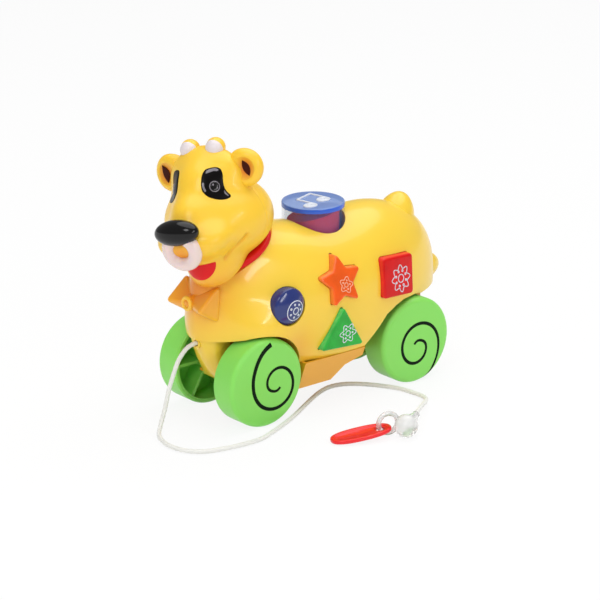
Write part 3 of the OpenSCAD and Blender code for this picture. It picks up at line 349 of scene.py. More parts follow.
# a profile of radius and height, turned about local Z and put in place
def turned(name, profile, place=(0, 0, 0), frameOf=np.eye(3), segs=96, closed=False):
    profile = np.asarray(profile, float)
    angle = np.linspace(0, 2 * math.pi, segs, endpoint=False)
    ring = np.stack([np.cos(angle), np.sin(angle)], 1)
    points = np.concatenate([np.concatenate([ring * r, np.full((segs, 1), z)], 1) for r, z in profile])
    faces = gridFaces(len(profile), segs, wrap=True)
    if closed:
        last = (len(profile) - 1) * segs
        faces += [(last + j, last + (j + 1) % segs, (j + 1) % segs, j) for j in range(segs)]
    return meshPiece(name, points @ np.asarray(frameOf).T + np.asarray(place, float), faces)


def rodPiece(name, radius, low, high, place, frameOf=np.eye(3), segs=64):
    return turned(name, [(0, low), (radius, low), (radius, high), (0, high)], place, frameOf, segs)


# a flat outline in X and Z, drawn out along Y
def sidePrism(name, outline, yLow, yHigh):
    points = [(x, y, z) for y in (yLow, yHigh) for x, z in outline]
    return meshPiece(name, points, tubeFaces(2, len(outline)))


def boxPiece(name, low, high, frameOf=np.eye(3), place=(0, 0, 0)):
    xs, ys, zs = zip(low, high)
    corners = np.array([(x, y, z) for z in zs for y in ys for x in xs])
    corners = corners @ np.asarray(frameOf).T + np.asarray(place, float)
    quads = [(0, 2, 3, 1), (4, 5, 7, 6), (0, 1, 5, 4), (2, 6, 7, 3), (0, 4, 6, 2), (1, 3, 7, 5)]
    return meshPiece(name, corners, quads)


def arcPoints(centre, radius, start, end, steps):
    turns = [math.radians(start + (end - start) * k / steps) for k in range(steps + 1)]
    return [(centre[0] + radius * math.cos(a), centre[1] + radius * math.sin(a)) for a in turns]


def circlePoints(centre, radius, steps):
    return arcPoints(centre, radius, 0, 360, steps)[:-1]


def ringPiece(name, mean, tube, place, frameOf, steps, segs):
    return turned(name, circlePoints((mean, 0), tube, steps), place, frameOf, segs, closed=True)


# a point between b and c on the smooth curve through a, b, c and d
def curveAt(a, b, c, d, share):
    bend = a - 2.5 * b + 2 * c - d / 2 + share * (1.5 * (b - c) + (d - a) / 2)
    return b + share * ((c - a) / 2 + share * bend)


# the plain mesh that a Geometry Nodes tree makes of some data
def treeMesh(name, data, tree, values):
    holder = linked(name, data)
    grow = holder.modifiers.new(name, "NODES")
    grow.node_group = tree
    ids = {s.name: s.identifier for s in tree.interface.items_tree if s.in_out == "INPUT"}
    for socket, value in values.items():
        grow[ids[socket]] = value
    mesh = evaluatedMesh(holder)
    bpy.data.objects.remove(holder)
    return mesh


def endTree(tree, shape, finish):
    real = addNode(tree, "GeometryNodeRealizeInstances", {"Geometry": shape}).outputs["Geometry"]
    paint = addNode(tree, "GeometryNodeSetMaterial", {"Geometry": real, "Material": finish})
    addNode(tree, "NodeGroupOutput", {"Geometry": paint.outputs["Geometry"]})
    return tree


# Geometry Nodes: a round line swept along a curve
def sweptLineTree():
    tree = bpy.data.node_groups.new("sweptLine", "GeometryNodeTree")
    addSockets(tree, "INPUT", {"Geometry": "Geometry", "Radius": "Float", "Finish": "Material"})
    addSockets(tree, "OUTPUT", {"Geometry": "Geometry"})
    given = addNode(tree, "NodeGroupInput").outputs
    rim = addNode(tree, "GeometryNodeCurvePrimitiveCircle", {"Resolution": 16, "Radius": given["Radius"]})
    sweep = addNode(tree, "GeometryNodeCurveToMesh", {
        "Curve": given["Geometry"], "Profile Curve": rim.outputs["Curve"], "Fill Caps": True,
        "Scale": addNode(tree, "GeometryNodeInputRadius").outputs[0],
    })
    return endTree(tree, sweep.outputs["Mesh"], given["Finish"])


sweptLine = sweptLineTree()


def sweptPiece(name, lines, radius, finish, taper=None):
    curve = bpy.data.curves.new(name, "CURVE")
    curve.dimensions = "3D"
    for points, closed in lines:
        spline = curve.splines.new("POLY")
        spline.points.add(len(points) - 1)
        for k, (point, place) in enumerate(zip(spline.points, toRow(points))):
            point.co = (*place, 1.0)
            point.radius = taper(k / (len(points) - 1)) if taper else 1.0
        spline.use_cyclic_u = closed
    values = {"Radius": radius * mm, "Finish": finishes[finish]}
    return linked(name, treeMesh(name + "Path", curve, sweptLine, values))


# sizes that several pieces share
egg = {
    "length": 198.0, "back": 6.0, "width": 84.0, "midZ": 66.0, "endHalf": 6.0,
    "crestX": -57.5, "crestZ": 125.0, "crestPower": 2.2, "saddleX": 0.0, "backZ": 117.5,
    "rumpX": 45.0, "rumpZ": 119.5, "lowZ": 15.0, "upperPower": 2.0, "lowerPower": 2.6,
    "frontLowPower": 1.8, "rearLowPower": 3.0, "flare": 8.0, "flareLong": 34.0, "flareHigh": 26.0,
    "wall": 2.2, "stations": 120, "levels": 72,
}
wheels = {
    "axleX": 63.1, "axleZ": 29.0, "radius": 29.0, "width": 19.0, "outer": 38.3, "round": 3.2, "rim": 3.0,
    "hub": 6.0, "bore": 2.0, "chamfer": 1.0, "ribs": 6, "ribThick": 2.0, "ribBite": 0.5, "archGap": 2.0,
}
archRadius = wheels["radius"] + wheels["archGap"]
fenderZ = wheels["axleZ"] + archRadius
fenderSlope = 10.0
neck = np.array([-57.5, 0.0, 108.5])
neckTilt = 30.0
headYaw = 24.0
neckTurn = turnAbout("Y", -neckTilt)
headTurn = turnAbout(Vector(neckTurn @ (0, 0, 1)), headYaw)
jawHeight = 4.8
fitRoom = 0.3
collarSize = {"radius": 25.0, "thick": 4.5, "bulge": 2.0, "bore": 6.05, "round": 2.0}
drum = {
    "x": 6.4, "radius": 20.5, "top": 127.8, "low": 97.8, "capThick": 2.8, "capEdge": 1.0, "wall": 1.8,
    "floor": 2.0, "holeFrom": 66.0,
}


# the egg of the body
def dome(t, power):
    return np.maximum(0.0, 1.0 - np.abs(t) ** power) ** (1.0 / power)


def ease(a, b, t):
    return a + (b - a) * (1 - np.cos(np.pi * np.clip(t, 0, 1))) / 2


def bump(t):
    return np.maximum(0.0, 1.0 - t * t) ** 2


def eggTop(u):
    half = egg["length"] / 2
    x = egg["back"] + half * u
    front, rear = egg["back"] - half, egg["back"] + half
    crest, saddle, rump = egg["crestX"], egg["saddleX"], egg["rumpX"]
    end = egg["midZ"] + egg["endHalf"]
    chest = end + (egg["crestZ"] - end) * dome((crest - x) / (crest - front), egg["crestPower"])
    slope = ease(egg["crestZ"], egg["backZ"], (x - crest) / (saddle - crest))
    rise = ease(egg["backZ"], egg["rumpZ"], (x - saddle) / (rump - saddle))
    tail = end + (egg["rumpZ"] - end) * dome((x - rump) / (rear - rump), 2)
    return np.select([x < crest, x < saddle, x < rump], [chest, slope, rise], tail)


def eggLow(u):
    low = egg["midZ"] - egg["endHalf"]
    power = np.where(u < 0, egg["frontLowPower"], egg["rearLowPower"])
    return low - (low - egg["lowZ"]) * dome(u, power)


def flareAt(x, z):
    along = bump((x + wheels["axleX"]) / egg["flareLong"])
    return egg["flare"] * along * bump((z - fenderZ) / egg["flareHigh"])


def eggPoints(u, a, inset):
    above = a >= 0
    power = np.where(above, egg["upperPower"], egg["lowerPower"])
    high = np.where(above, eggTop(u) - inset - egg["midZ"], egg["midZ"] - eggLow(u) - inset)
    x = egg["back"] + (egg["length"] / 2 - inset) * u
    z = egg["midZ"] + np.sign(a) * high * np.abs(np.sin(a)) ** (2 / power)
    half = (egg["width"] / 2 - inset) * dome(u, 2) + flareAt(x, z) * np.sqrt(dome(u, 2))
    return np.stack([x, half * np.abs(np.cos(a)) ** (2 / power), z], -1)


def sideY(x, z):
    u = np.array((x - egg["back"]) / (egg["length"] / 2))
    above = z >= egg["midZ"]
    power = egg["upperPower"] if above else egg["lowerPower"]
    high = eggTop(u) - egg["midZ"] if above else egg["midZ"] - eggLow(u)
    half = egg["width"] / 2 * dome(u, 2) + flareAt(x, z) * math.sqrt(dome(u, 2))
    return float(half * dome((z - egg["midZ"]) / high, power))


# buttons, with their places along X and Z
buttons = {
    "round": {"slot": "blue_button", "at": (-44.5, 76.3), "size": 12.0, "flange": 28.2, "flangeRadius": 13.8,
              "proud": 5.0, "domeRadius": 20.0, "edge": 0.6,
              "rings": (1.0, 0.985, 0.95, 0.9, 0.8, 0.65, 0.5, 0.35, 0.2, 0.08)},
    "star": {"slot": "orange_button", "at": (-4.0, 85.3), "size": 17.8, "waist": 0.52, "roll": 4.0,
             "flange": 30.0, "flangeRadius": 11.5, "proud": 3.0, "edge": 1.4, "corner": 1.5},
    "triangle": {"slot": "green_button", "at": (-4.0, 55.1), "wide": 34.6, "high": 27.8, "tip": -1.8,
                 "roll": -3.0, "flange": 30.0, "flangeRadius": 13.0, "proud": 3.0, "edge": 1.8,
                 "corner": 1.4},
    "square": {"slot": "red_button", "at": (44.8, 78.3), "wide": 29.0, "high": 26.0, "roll": -5.0,
               "flange": 28.6, "flangeRadius": 15.5, "proud": 3.0, "edge": 1.4, "corner": 2.6},
}
buttonForm = {"lean": 0.85, "flangeThick": 1.5, "edgeSteps": 5, "edgeAngle": 35.0}
flangeThick = buttonForm["flangeThick"]


def rolled(points, degrees, at):
    c, s = math.cos(math.radians(degrees)), math.sin(math.radians(degrees))
    return [(at[0] + c * x - s * z, at[1] + s * x + c * z) for x, z in points]


# each corner of an outline becomes a small arc
def softCorners(outline, radius, steps=6):
    outline = np.asarray(outline, float)
    soft = []
    for k, here in enumerate(outline):
        a, b = outline[k - 1] - here, outline[(k + 1) % len(outline)] - here
        a, b = a / np.linalg.norm(a), b / np.linalg.norm(b)
        half = math.acos(max(-1.0, min(1.0, float(a @ b)))) / 2
        reach = radius / math.tan(half)
        middle = here + (a + b) / np.linalg.norm(a + b) * radius / math.sin(half)
        start, end = here + a * reach - middle, here + b * reach - middle
        first = math.atan2(start[1], start[0])
        sweep = (math.atan2(end[1], end[0]) - first + math.pi) % (2 * math.pi) - math.pi
        soft += arcPoints(middle, radius, math.degrees(first), math.degrees(first + sweep), steps)
    return soft


def cornerOutline(kind, room):
    b = buttons[kind]
    if kind == "round":
        return circlePoints(b["at"], b["size"] + room, 72)
    if kind == "star":
        turns = [math.radians(90 + b["roll"] + 36 * k) for k in range(10)]
        radii = [b["size"] * (b["waist"] if k % 2 else 1.0) + 1.5 * room for k in range(10)]
        return [(b["at"][0] + r * math.cos(a), b["at"][1] + r * math.sin(a)) for a, r in zip(turns, radii)]
    w, h = b["wide"] / 2 + room, b["high"] / 2 + room
    corners = [(-w, -h), (w, -h), (w, h), (-w, h)]
    if kind == "triangle":
        corners = [(-w - room, -h), (w + room, -h), (b["tip"], h + room)]
    return rolled(corners, b["roll"], b["at"])


def buttonOutline(kind, room=0.0):
    outline = cornerOutline(kind, room)
    return softCorners(outline, buttons[kind]["corner"]) if "corner" in buttons[kind] else outline


# the two halves of the body; the slant is measured from the top of the rear arch, its foot from the side edge
halves = {
    "rearEdge": 58.0, "sideEdge": 35.0, "trayBack": 19.0, "slant": [(0, 0), (-10, 0), (-18, -2), (-27, -6)],
    "slantFoot": (-42, 3), "buttonsFrom": -20.0, "screws": [(-76, 78), (74, 92), (88, 70)], "screwHole": 2.85,
    "screwsFrom": 3.0,
}
# inner wall of the front wheel arch, from the skin in to the chassis
archWall = {"start": 11.0, "steps": 40, "clear": 0.15, "thick": 1.2, "inner": 18.8, "inset": 0.6}
# painted shade: amber under the jaw, on the shoulders beside the collar, and on the inner walls of the front
# wheel arches
chestPaintedShade = [((-92, 0, 92), 25.0, 0.8), ((-74, -22, 104), 12.0, 0.6), ((-74, 22, 104), 12.0, 0.6)]
archPaintedShade = [((-38, -24, 48), 14.0, 0.9), ((-38, 24, 48), 14.0, 0.9)]


def bodyCutters():
    x = wheels["axleX"]
    below = (-farAway, -farAway, -farAway)
    cutters = [boxPiece("floorCut", below, (farAway, farAway, halves["sideEdge"]))]
    for place in (-x, x):
        arch = circlePoints((place, wheels["axleZ"]), archRadius, 128)
        cutters.append(sidePrism("archCut", arch, -farAway, farAway))
    slope = turnAbout("Y", -fenderSlope)
    cutters.append(boxPiece("fenderCut", below, (0, farAway, 0), slope, (-x, 0, fenderZ)))
    cutters.append(boxPiece("rearCut", (x, -farAway, -farAway), (farAway, farAway, halves["rearEdge"])))
    footX, footZ = halves["slantFoot"]
    slant = [(x, -farAway)] + [(x + dx, fenderZ + dz) for dx, dz in halves["slant"]]
    slant += [(x + footX, halves["sideEdge"] + footZ), (halves["trayBack"], halves["sideEdge"]),
              (halves["trayBack"], -farAway)]
    cutters.append(sidePrism("slantCut", slant, -farAway, farAway))
    reach = collarSize["radius"] + egg["wall"]
    cutters.append(boxPiece("neckCut", (-reach, -farAway, 0), (reach, farAway, farAway), neckTurn, neck))
    cutters.append(boxPiece("jawCut", (-farAway, -farAway, collarSize["thick"]), (0, farAway, farAway),
                            neckTurn, neck))
    cutters.append(rodPiece("drumCut", drum["radius"] + fitRoom, drum["holeFrom"], farAway,
                            (drum["x"], 0, 0), segs=128))
    return cutters


def sideCutters(name):
    if name == "left":
        return [sidePrism(kind + "Cut", buttonOutline(kind, fitRoom), -farAway, halves["buttonsFrom"])
                for kind in buttons]
    return [sidePrism("screwCut", circlePoints(at, halves["screwHole"], 40), halves["screwsFrom"], farAway)
            for at in halves["screws"]]


def bodyHalf(name, side):
    rows, cols = egg["stations"] + 1, egg["levels"] + 1
    u = -np.cos(np.pi * np.arange(rows) / egg["stations"])[:, None] * np.ones((1, cols))
    a = np.radians(90 - 180 * np.arange(cols) / egg["levels"])[None, :] * np.ones((rows, 1))
    points = np.concatenate([eggPoints(u, a, inset).reshape(-1, 3) for inset in (0.0, egg["wall"])])
    points[:, 1] *= side
    count = rows * cols
    rim = [i * cols for i in range(rows)]
    rim += [(rows - 1) * cols + j for j in range(1, cols)]
    rim += [i * cols + cols - 1 for i in range(rows - 2, -1, -1)]
    rim += list(range(cols - 2, 0, -1))
    faces = gridFaces(rows, cols) + gridFaces(rows, cols, count)
    faces += [(a, b, b + count, a + count) for a, b in zip(rim, rim[1:] + rim[:1])]
    return meshPiece(name, points, faces)


def archBand(side):
    near = archRadius + archWall["clear"]
    far = near + archWall["thick"]
    points = []
    for turn in np.radians(np.linspace(archWall["start"], 90, archWall["steps"])):
        for radius, atSkin in ((near, False), (near, True), (far, True), (far, False)):
            x = -wheels["axleX"] + radius * math.cos(turn)
            z = wheels["axleZ"] + radius * math.sin(turn)
            points.append((x, side * (sideY(x, z) - archWall["inset"] if atSkin else archWall["inner"]), z))
    return meshPiece("archBand", points, tubeFaces(archWall["steps"], 4))


for side, name in sides:
    skin = cutAway(bodyHalf(name + "Skin", side), bodyCutters() + sideCutters(name))
    half = joinedPiece("body" + name.capitalize(), [skin, archBand(side)])
    finished(half, "shell", "body", ["body_" + name + "_shell"], crease=30)
    withPaintedLight(half, chestPaintedShade + archPaintedShade)
print("body halves done")


# the chest piece between the front wheels
keel = {
    "half": 13.0, "top": 60.0, "low": 24.0, "nose": -90.8, "reach": 17.0, "power": 1.5, "back": -74.0,
    "bite": 1.0, "round": 9.0, "rows": 40, "steps": 24, "cordZ": 52.0, "cordHole": 1.8, "holeFrom": -120.0,
    "holeTo": -82.0, "lip": 0.9,
}


def keelRow(z):
    t = (keel["top"] - z) / (keel["top"] - keel["low"])
    x = keel["nose"] + keel["reach"] * (1 - float(dome(t, keel["power"])))
    deep = min(keel["round"], keel["back"] - x)
    row = [(x + deep * (1 - math.sin(a)), -keel["half"] * math.cos(a), z)
           for a in np.linspace(0, math.pi / 2, keel["steps"] + 1)]
    row += [(px, -py, z) for px, py, _ in row[-2::-1]]
    back = keel["back"] + keel["bite"]
    return row + [(back, keel["half"], z), (back, -keel["half"], z)]


keelPoints = []
for k in range(keel["rows"] + 1):
    rise = 1 - math.cos(math.pi / 2 * k / keel["rows"])
    keelPoints += keelRow(keel["low"] + (keel["top"] - keel["low"]) * rise)
keelPiece = meshPiece("chestKeel", keelPoints, tubeFaces(keel["rows"] + 1, 2 * keel["steps"] + 3))
keelCuts = [
    boxPiece("keelTop", (-farAway, -farAway, 0), (farAway, farAway, farAway), turnAbout("Y", -fenderSlope),
             (-wheels["axleX"], 0, fenderZ - fitRoom)),
    rodPiece("cordHole", keel["cordHole"], keel["holeFrom"], keel["holeTo"], (0, 0, keel["cordZ"]),
             turnAbout("Y", 90), segs=32),
]
finished(cutAway(keelPiece, keelCuts), "shell", "body", ["keel"], crease=40)
lipFront = (keelRow(keel["cordZ"])[keel["steps"]][0], 0, keel["cordZ"])
lipMean = keel["cordHole"] + keel["lip"]
cordLip = ringPiece("cordLip", lipMean, keel["lip"], lipFront, turnAbout("Y", -90), 20, 48)
finished(cordLip, "shell", "body", crease=60)


# bow tie: two wings drawn tight over their corners, and a knot with a ring
bow = {
    "span": 15.5, "ends": [(-85, 90), (-98, 79), (-86, 71.5)], "knot": (-92.5, 0, 80), "knotRadius": 5.0,
    "knotOut": 0.5, "round": 2.0, "backX": -82.0, "waist": (-91.0, 4.0, 74.5), "voxel": 0.7, "smooth": 4,
    "ringMean": 3.7, "ringTube": 1.3, "ringIn": 0.6, "paintedShade": [((-90, -10, 80), 9.0, 0.6)],
}


def ballPoints(centre, radius):
    return [(centre[0] + radius * math.sin(p) * math.cos(r), centre[1] + radius * math.sin(p) * math.sin(r),
             centre[2] + radius * math.cos(p))
            for p in np.linspace(0, np.pi, 13) for r in np.linspace(0, 2 * np.pi, 24, endpoint=False)]


def hullPiece(name, points):
    mesh = bpy.data.meshes.new(name)
    form = bmesh.new()
    for point in toRow(points):
        form.verts.new(point)
    found = bmesh.ops.convex_hull(form, input=form.verts)
    loose = [v for v in found["geom_interior"] + found["geom_unused"] if isinstance(v, bmesh.types.BMVert)]
    bmesh.ops.delete(form, geom=list(set(loose)), context="VERTS")
    form.to_mesh(mesh)
    form.free()
    return linked(name, mesh)


knotX, _, knotZ = bow["knot"]
bowParts = []
for side, _ in sides:
    spots = [(x, side * bow["span"], z) for x, z in bow["ends"]]
    spots += [(bow["backX"], side * bow["span"] / 2, knotZ), onSide(bow["waist"], side)]
    cloud = ballPoints(bow["knot"], bow["knotRadius"] - bow["round"])
    for spot in spots:
        cloud += ballPoints(spot, bow["round"])
    bowParts.append(hullPiece("bowWing", cloud))
bowParts.append(hullPiece("bowKnot", ballPoints((knotX - bow["knotOut"], 0, knotZ), bow["knotRadius"])))
bowPiece = joinedPiece("bowTie", bowParts)
fuse = bowPiece.modifiers.new("fuse", "REMESH")
fuse.mode = "VOXEL"
fuse.voxel_size = bow["voxel"] * mm
soften = bowPiece.modifiers.new("soften", "SMOOTH")
soften.iterations = bow["smooth"]
finished(baked(bowPiece), "bow", "body", ["bow_tie"], crease=60)
# painted shade on the bow: under the jaw and beside the knot
withPaintedLight(bowPiece, chestPaintedShade + bow["paintedShade"])
knotFront = (knotX - bow["knotRadius"] + bow["ringIn"], 0, knotZ)
knotRing = ringPiece("bowKnotRing", bow["ringMean"], bow["ringTube"], knotFront, turnAbout("Y", -90), 24, 64)
finished(knotRing, "bow", "body", crease=60)


# tail and bumper: rounded cones, leaning back by some degrees
knobs = {
    "tailKnob": {"node": "tail", "radius": 13.0, "height": 17.0, "at": (77, 0, 103), "lean": 22},
    "rearBumper": {"node": "rear_bumper", "radius": 11.0, "height": 17.0, "at": (98, 0, 64), "lean": 90},
}
knobPower = 1.3


def roundCone(radius, height, steps=32):
    turns = [math.pi / 2 * k / steps for k in range(steps + 1)]
    return [(0, 0)] + [(radius * math.cos(a), height * math.sin(a) ** knobPower) for a in turns]


for name, knob in knobs.items():
    piece = turned(name, roundCone(knob["radius"], knob["height"]), knob["at"], turnAbout("Y", knob["lean"]))
    finished(piece, "shell", "body", [knob["node"]])
print("trim done")


# button faces lean with the body's side
def leanedFace(kind):
    x, z = buttons[kind]["at"]
    leanX = math.degrees(math.atan2(sideY(x + 1, z) - sideY(x - 1, z), 2)) * buttonForm["lean"]
    leanZ = math.degrees(math.atan2(sideY(x, z + 1) - sideY(x, z - 1), 2)) * buttonForm["lean"]
    turn = turnAbout("Z", -leanX) @ turnAbout("X", leanZ)
    return np.array([x, -(sideY(x, z) + buttons[kind]["proud"]), z]), turn @ (0, -1, 0)


def onFace(kind, x, z, lift=0.0):
    if kind == "round":
        cx, cz = buttons[kind]["at"]
        radius = buttons[kind]["domeRadius"]
        top = sideY(cx, cz) + buttons[kind]["proud"]
        return (x, radius - top - math.sqrt(radius ** 2 - (x - cx) ** 2 - (z - cz) ** 2) - lift, z)
    place, out = leanedFace(kind)
    return (x, np.dot(place - np.array([x, 0, z]), out) / out[1] - lift, z)


# share of the way from a button's face down its rounded edge
def edgeShare(piece, kind):
    place, out = leanedFace(kind)
    return (place - partPoints(piece)) @ out / buttons[kind]["edge"]


def buttonPiece(kind):
    b = buttons[kind]
    outline = buttonOutline(kind)
    points = [(x, flangeThick - b["flange"], z) for x, z in outline]
    if kind == "round":
        cx, cz = b["at"]
        for k, share in enumerate(b["rings"]):
            drop = b["edge"] * (1 - min(1.0, k / 2)) ** 2
            points += [onFace(kind, cx + share * (x - cx), cz + share * (z - cz), -drop) for x, z in outline]
        return meshPiece(kind + "Key", points, tubeFaces(len(b["rings"]) + 1, len(outline)))
    points += [onFace(kind, x, z) for x, z in outline]
    block = meshPiece(kind + "Key", points, tubeFaces(2, len(outline)))
    return rounded(block, b["edge"], buttonForm["edgeSteps"], buttonForm["edgeAngle"])


for kind, b in buttons.items():
    back = rodPiece("flange", b["flangeRadius"], 0, flangeThick,
                    (b["at"][0], flangeThick - b["flange"], b["at"][1]), turnAbout("X", 90))
    key = joinedPiece(kind + "Button", [buttonPiece(kind), back])
    finished(key, kind, kind + "_press", [kind + "_button"])
    # painted highlights: the rounded edges and sides of the star, triangle and square turn to their lighter
    # deep tints
    if kind != "round":
        withPaintedLight(key, [], edgeShare(key, kind))


# plain pale motifs on the buttons: a waved line, a circle and a ring of dots
motifs = {
    "round": {"at": (-42.5, 74.0), "outer": 6.6, "wave": 0.0, "petals": 0, "inner": 2.2, "dots": 7,
              "reach": 4.4, "dot": 0.5, "turn": 0.0, "finish": "print"},
    "star": {"at": (-1.6, 82.8), "outer": 4.3, "wave": 0.9, "petals": 5, "inner": 1.4, "dots": 5,
             "reach": 2.8, "dot": 0.35, "turn": 0.0, "finish": "softPrint"},
    "triangle": {"at": (-1.5, 50.6), "outer": 5.4, "wave": 1.2, "petals": 6, "inner": 1.8, "dots": 6,
                 "reach": 3.6, "dot": 0.45, "turn": 0.0, "finish": "print"},
    "square": {"at": (46.8, 76.4), "outer": 7.6, "wave": 1.3, "petals": 8, "inner": 2.6, "dots": 8,
               "reach": 5.0, "dot": 0.6, "turn": 22.5, "finish": "print"},
}
motifLine = {"radius": 0.3, "lift": 0.02, "steps": 60, "circleSteps": 28, "dotSteps": 12}


def motifLines(kind):
    m = motifs[kind]
    steps = motifLine["steps"] if m["petals"] else motifLine["circleSteps"]
    waved = []
    for k in range(steps):
        a = 2 * math.pi * k / steps
        r = m["outer"] + m["wave"] * math.cos(m["petals"] * a)
        waved.append((m["at"][0] + r * math.cos(a), m["at"][1] + r * math.sin(a)))
    loops = [waved, circlePoints(m["at"], m["inner"], motifLine["circleSteps"])]
    loops += [circlePoints(spot, m["dot"], motifLine["dotSteps"])
              for spot in arcPoints(m["at"], m["reach"], m["turn"], m["turn"] + 360, m["dots"])[:-1]]
    return [([onFace(kind, x, z, motifLine["lift"]) for x, z in loop], True) for loop in loops]


for kind, m in motifs.items():
    piece = sweptPiece(kind + "Motif", motifLines(kind), motifLine["radius"], m["finish"])
    finished(piece, m["finish"], kind + "_press")
print("buttons done")


# music drum: cap, clear wall, band and the piece inside
capBottom = drum["top"] - drum["capThick"]
capPlace = (drum["x"], 0, capBottom)
capRound = (drum["radius"] - drum["capEdge"], drum["capThick"] - drum["capEdge"])
capProfile = [(0, 0), (drum["radius"], 0)] + arcPoints(capRound, drum["capEdge"], 0, 90, 8)
capProfile.append((0, drum["capThick"]))
finished(turned("drumCap", capProfile, capPlace, segs=128), "cap", "music_drum", ["drum_cap"])
wallHigh = capBottom - drum["low"]
wallInner = drum["radius"] - drum["wall"]
wallProfile = [(0, 0), (drum["radius"], 0), (drum["radius"], wallHigh), (wallInner, wallHigh),
               (wallInner, drum["floor"]), (0, drum["floor"])]
finished(turned("drumWall", wallProfile, (drum["x"], 0, drum["low"]), segs=128), "drum", "music_drum",
         ["drum_wall_ring"])
band = {"deep": 0.6, "proud": 0.06, "low": -0.5, "shoulder": 1.9, "slope": 0.2, "top": 2.4}
bandInner, bandOuter = drum["radius"] - band["deep"], drum["radius"] + band["proud"]
bandProfile = [(bandInner, band["low"]), (bandOuter, band["low"]), (bandOuter, band["shoulder"]),
               (drum["radius"] - band["slope"], band["top"]), (bandInner, band["top"])]
capBand = turned("capBand", bandProfile, capPlace, segs=128, closed=True)
finished(capBand, "band", "music_drum")

insert = {"radius": 17.0, "low": 100.0, "top": 119.5, "rise": 4.2, "towards": -40.0, "rim": 1.5, "dip": 0.9,
          "segs": 96}
insertTurns = np.linspace(0, 2 * np.pi, insert["segs"], endpoint=False)
insertRows = []
for radius, high in ((0.0, 0.0), (insert["radius"], 0.0), (insert["radius"], 1.0),
                     (insert["radius"] - insert["rim"], 1.0), (0.0, insert["dip"])):
    slope = insert["rise"] * np.cos(insertTurns - math.radians(insert["towards"])) * radius / insert["radius"]
    insertRows.append(np.stack([drum["x"] + radius * np.cos(insertTurns), radius * np.sin(insertTurns),
                                insert["low"] + high * (insert["top"] - insert["low"] + slope)], 1))
insertFaces = gridFaces(len(insertRows), insert["segs"], wrap=True)
drumInsert = meshPiece("drumInsert", np.concatenate(insertRows), insertFaces)
finished(drumInsert, "insert", "music_drum", ["drum_insert"], crease=40)

# the note on the cap: two filled heads, their stems and a beam
note = {"heads": [(-3.0, -8.5), (12.0, -3.5)], "wide": 4.4, "high": 3.2, "rings": (1.0, 0.7, 0.4),
        "stem": 15.0, "lean": 3.0, "lift": 0.05, "line": 0.75, "steps": 28}
noteZ = drum["top"] + note["lift"]
noteLines = []
stemTops = []
for x, y in note["heads"]:
    for share in note["rings"]:
        wide, high = share * note["wide"], share * note["high"]
        oval = [(x + wide * c, y + high * s, noteZ) for c, s in circlePoints((0, 0), 1, note["steps"])]
        noteLines.append((oval, True))
    stemTops.append((x + note["wide"] - note["lean"], y + note["stem"], noteZ))
    noteLines.append(([(x + note["wide"], y, noteZ), stemTops[-1]], False))
noteLines.append((stemTops, False))
finished(sweptPiece("capNote", noteLines, note["line"], "print"), "print", "music_drum")
print("drum done")


# collar
collarFlat = collarSize["radius"] - collarSize["round"]
collarProfile = [(collarSize["bore"], 0), (collarFlat, 0)]
for degrees in range(-90, 91, 10):
    a = math.radians(degrees)
    high = collarSize["thick"] / 2 * (1 + math.sin(a))
    collarProfile.append((collarFlat + collarSize["bulge"] * math.cos(a), high))
collarProfile.append((collarSize["bore"], collarSize["thick"]))
neckCollar = turned("neckCollar", collarProfile, neck, neckTurn, segs=128, closed=True)
finished(neckCollar, "red", "body", ["collar"])


# the head: swellings blended into one skin, measured from the collar's centre with the head straight
head = {
    "mid": np.array([-12.0, 0.0, 22.0]), "blend": 4.0, "wall": 2.0, "rings": 90, "segs": 200, "reach": 90.0,
    "swells": [
        ((-27, 0, 46), (16, 16, 17)), ((-18.4, 0, 51), (13.6, 26.4, 19.7)), ((-13, 0, 23), (35, 34.4, 27)),
        ((-38, 0, 30), (20, 14, 15)), ((-47, 0, 15.6), (17, 25, 12.2)), ((-26.6, 0, -3.7), (20, 17, 15.9)),
    ],
    "smile": [(-36.8, 14.6, 1.6), (-28.5, 28.6, 13.9)], "smileDeep": 1.9, "smileWide": 1.2, "smilePaintedShade": 0.55,
    "seamDeep": 0.35, "soften": 5.0, "softRings": ((0.7, 6), (1.4, 8), (2.1, 10)), "tableRows": 120,
    "tableCols": 180, "searchSteps": 20,
    "paintedShade": [((-34, 0, -16), 15.0, 0.7), ((-60, 0, 10), 9.0, 0.7), ((-10, 0, -8), 20.0, 0.6)],
}


def fromHead(points):
    return np.asarray(points, float) @ headTurn.T + neck


def toHead(points):
    return (points - neck) @ headTurn


# halving search for the last place along a line that is still inside
def lastInside(low, high, inside, steps):
    for _ in range(steps):
        middle = (low + high) / 2
        within = inside(middle)
        low, high = np.where(within, middle, low), np.where(within, high, middle)
    return low


def swellSum(points):
    total = np.zeros(points.shape[:-1])
    for centre, size in head["swells"]:
        q = (points - np.array(centre)) / np.array(size)
        total += np.exp(head["blend"] * (1 - (q * q).sum(-1)))
    return total


def swellReach(way):
    def inside(ahead):
        return swellSum(head["mid"] + ahead[..., None] * way) >= 1

    start = np.zeros(way.shape[:-1])
    return lastInside(start, start + head["reach"], inside, head["searchSteps"])


# directions from the head's middle: polar from straight ahead, around from its right
def headWay(polar, around):
    return np.stack([-np.cos(polar) * np.ones_like(around), np.sin(polar) * np.cos(around),
                     np.sin(polar) * np.sin(around)], -1)


